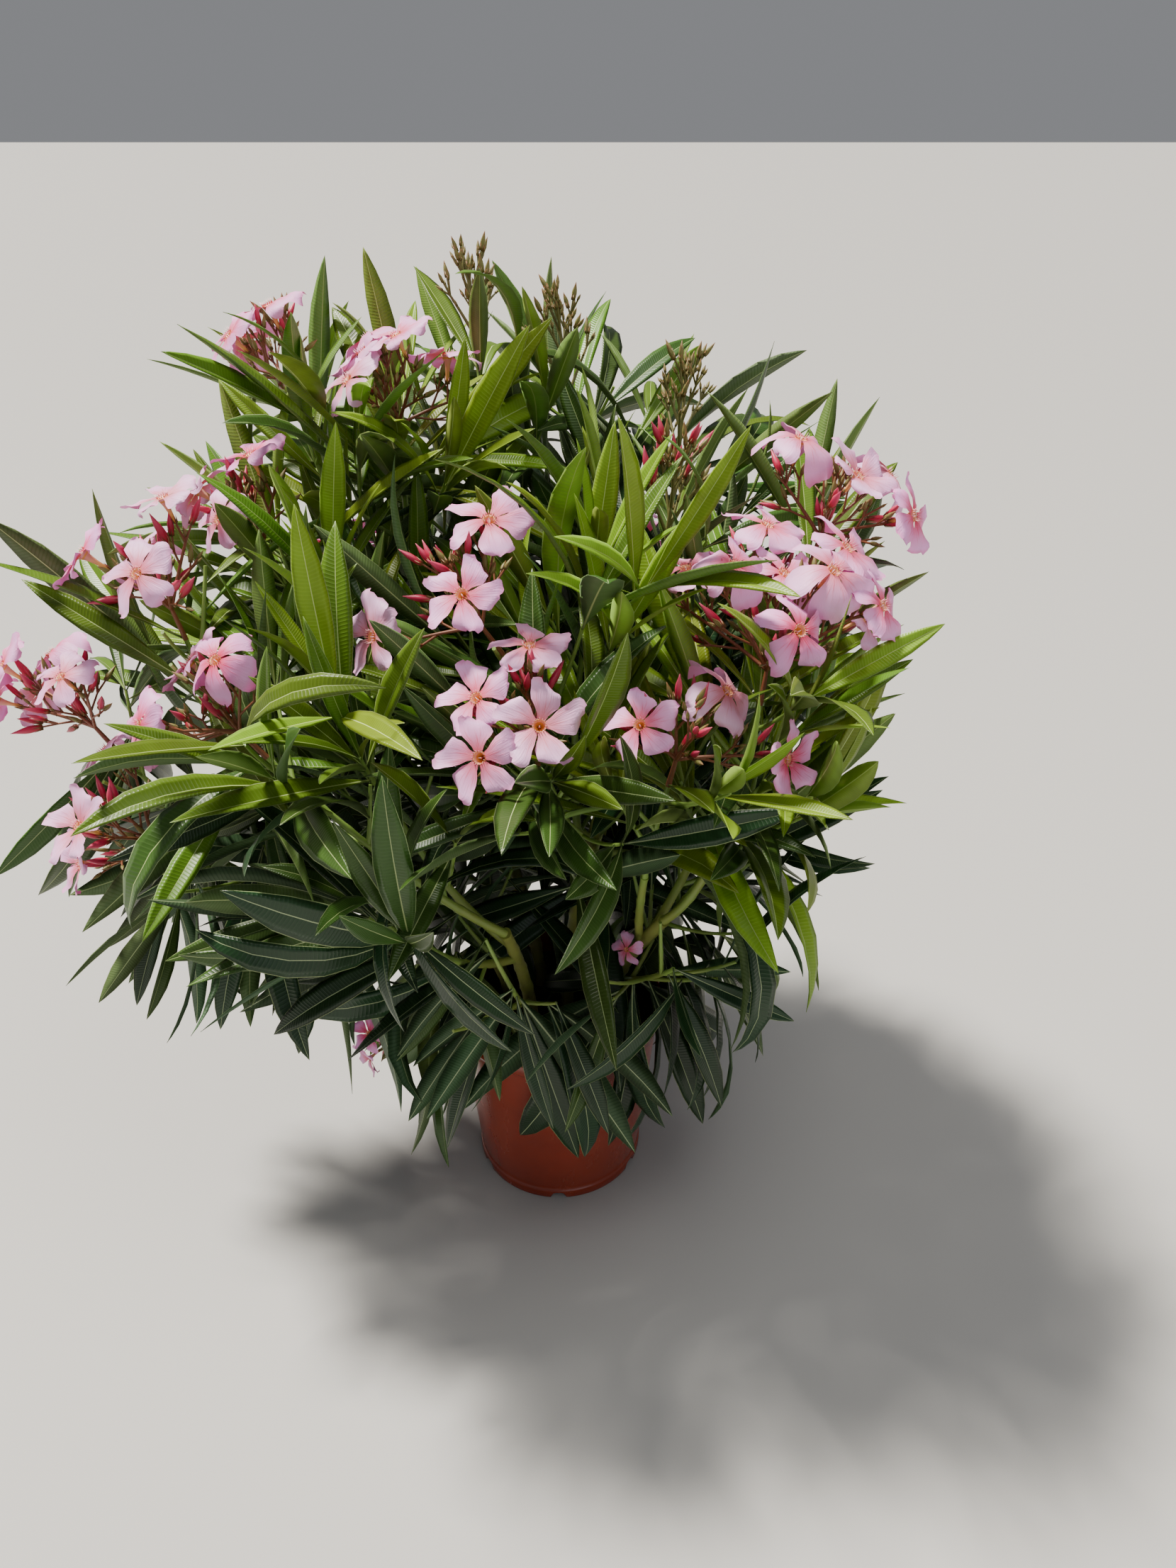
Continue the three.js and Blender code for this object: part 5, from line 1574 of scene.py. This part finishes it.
leaf_spots = {group: [] for group in LEAF_AGE_AND_LIGHT_GROUPS}
for point, along, out, radius, age, limb in candidates:
    if leaf_dice.random() > LEAVES_KEPT.get(limb.kind, 1.0):
        continue
    if limb.kind == "stem" and (point.z < STEM_LEAVES_FROM or limb.shoot in BARE_STEMS):
        continue
    # The leaf's colour group carries painted light from its height and its shoot, as well as its age.
    group = group_of(point.z, age, limb, leaf_dice)
    hang = held((HANGING_BELOW - point.z) / (HANGING_BELOW - FULLY_HANGING))
    height = held((point.z - SLIMMING_FROM) / SLIMMING_RISE)
    lean = min(MOST_LEAN, LEAST_LEAN + (LEAN_PER_AGE - 3 * height) * age)
    lean += leaf_dice.uniform(-LEAN_JITTER, LEAN_JITTER)
    length = LEAF_LENGTH * leaf_dice.uniform(*LENGTHS) * AGE_LENGTHS[min(age, 2)] * (1 + 0.14 * hang)
    slim = leaf_dice.uniform(*WIDTHS) - 0.14 * height + 0.06 * hang - (0.08 if age < 2 else 0)
    arch = min(len(ARCHES) - 1, max(0, int(leaf_dice.gauss(0.5 + 0.4 * age, 0.8))))
    kind = arch * SHAPES_PER_ARCH + leaf_dice.randrange(SHAPES_PER_ARCH)
    droop = hang * leaf_dice.uniform(*DROOPS)
    if limb.shoot in HANGING_SHOOTS:
        droop += leaf_dice.uniform(*SHOOT_DROOPS)
    if point.x < DROOPING_SIDE and point.z < DROOPING_BELOW:
        droop += leaf_dice.uniform(*SIDE_DROOPS)
    for turn, more_lean, shrink in TRIES:
        side = Matrix.Rotation(math.radians(turn), 3, along) @ out
        frame_of_leaf = leaf_turn(along, side, math.radians(lean + more_lean), droop)
        size = (length * shrink, length * shrink * slim, length * shrink)
        base = point + side * radius * 0.7
        strip, strip_faces = leaf_strips[kind]
        points = (strip * size) @ np.array(frame_of_leaf).T + np.array(base)
        solid = solid_of(points, strip_faces)
        if not stands_clear(points, solid, limb):
            continue
        remember(points, solid)
        leaf_spots[group].append((base, tuple(frame_of_leaf.to_euler()), size, kind, leaf_dice.random()))
        break

def leaf_finish(name, blade, vein, glow, edge, roughness):
    """A leaf's face: side veins nearly square to the rib, a pale edge, each leaf's own tint, a glow
    where light shines through, and fine relief."""
    material, tree, shader = finish(name, blade, roughness, {"Specular IOR Level": LEAF_SPECULAR})
    place = add(tree, "ShaderNodeUVMap", uv_map="place")
    along, across = (add(tree, "ShaderNodeSeparateXYZ", place, out=axis) for axis in "XY")
    off = worked(tree, "ABSOLUTE", worked(tree, "MULTIPLY_ADD", across, 2.0, -1.0))
    run = worked(tree, "ADD", worked(tree, "MULTIPLY", along, VEINS * 2 * math.pi),
                 worked(tree, "MULTIPLY", off, -VEIN_SLANT))
    ridge = worked(tree, "POWER", worked(tree, "MULTIPLY_ADD", worked(tree, "SINE", run), 0.5, 0.5), 3.0)
    veined = mixed(tree, worked(tree, "MULTIPLY", ridge, 0.6), blade, vein)
    edge_share = worked(tree, "MULTIPLY", worked(tree, "GREATER_THAN", off, 0.962), edge)
    tint = add(tree, "ShaderNodeAttribute", attribute_name="tint", out="Fac")
    patches = noise(tree, add(tree, "ShaderNodeTexCoord", out="Object"), 55, 4)
    light = worked(tree, "ADD", worked(tree, "MULTIPLY", tint, 0.45),
                   worked(tree, "MULTIPLY_ADD", patches, 0.5, 0.5))
    hue = worked(tree, "ADD", worked(tree, "MULTIPLY", tint, 0.035), 0.4825)
    shade = add(tree, "ShaderNodeHueSaturation", Hue=hue, Value=light,
                Color=mixed(tree, edge_share, veined, EDGE_SHADE))
    feed(shader, {"Base Color": shade, "Normal": bumped(tree, ridge, 0.28, 0.0004)})
    lit_through(tree, shader, shade, glow)
    return material


# One piece for each colour group, each group holding painted light as well as the leaves' age.
for group, look in LEAF_AGE_AND_LIGHT_GROUPS.items():
    vein, glow = look["vein"], look["glow"]
    placed(f"leaves_{group}", leaf_spots[group], leaf_shapes, {
        "Blade": leaf_finish(f"{group}_blade", look["blade"], vein, glow, 0.6, 0.34),
        "Rib": finish(f"{group}_rib", look["rib"], 0.45)[0],
        "Underside": leaf_finish(f"{group}_underside", look["under"], vein, glow, 0.3, 0.55),
        "Under rib": finish(f"{group}_under_rib", look["rib"], 0.5)[0]})
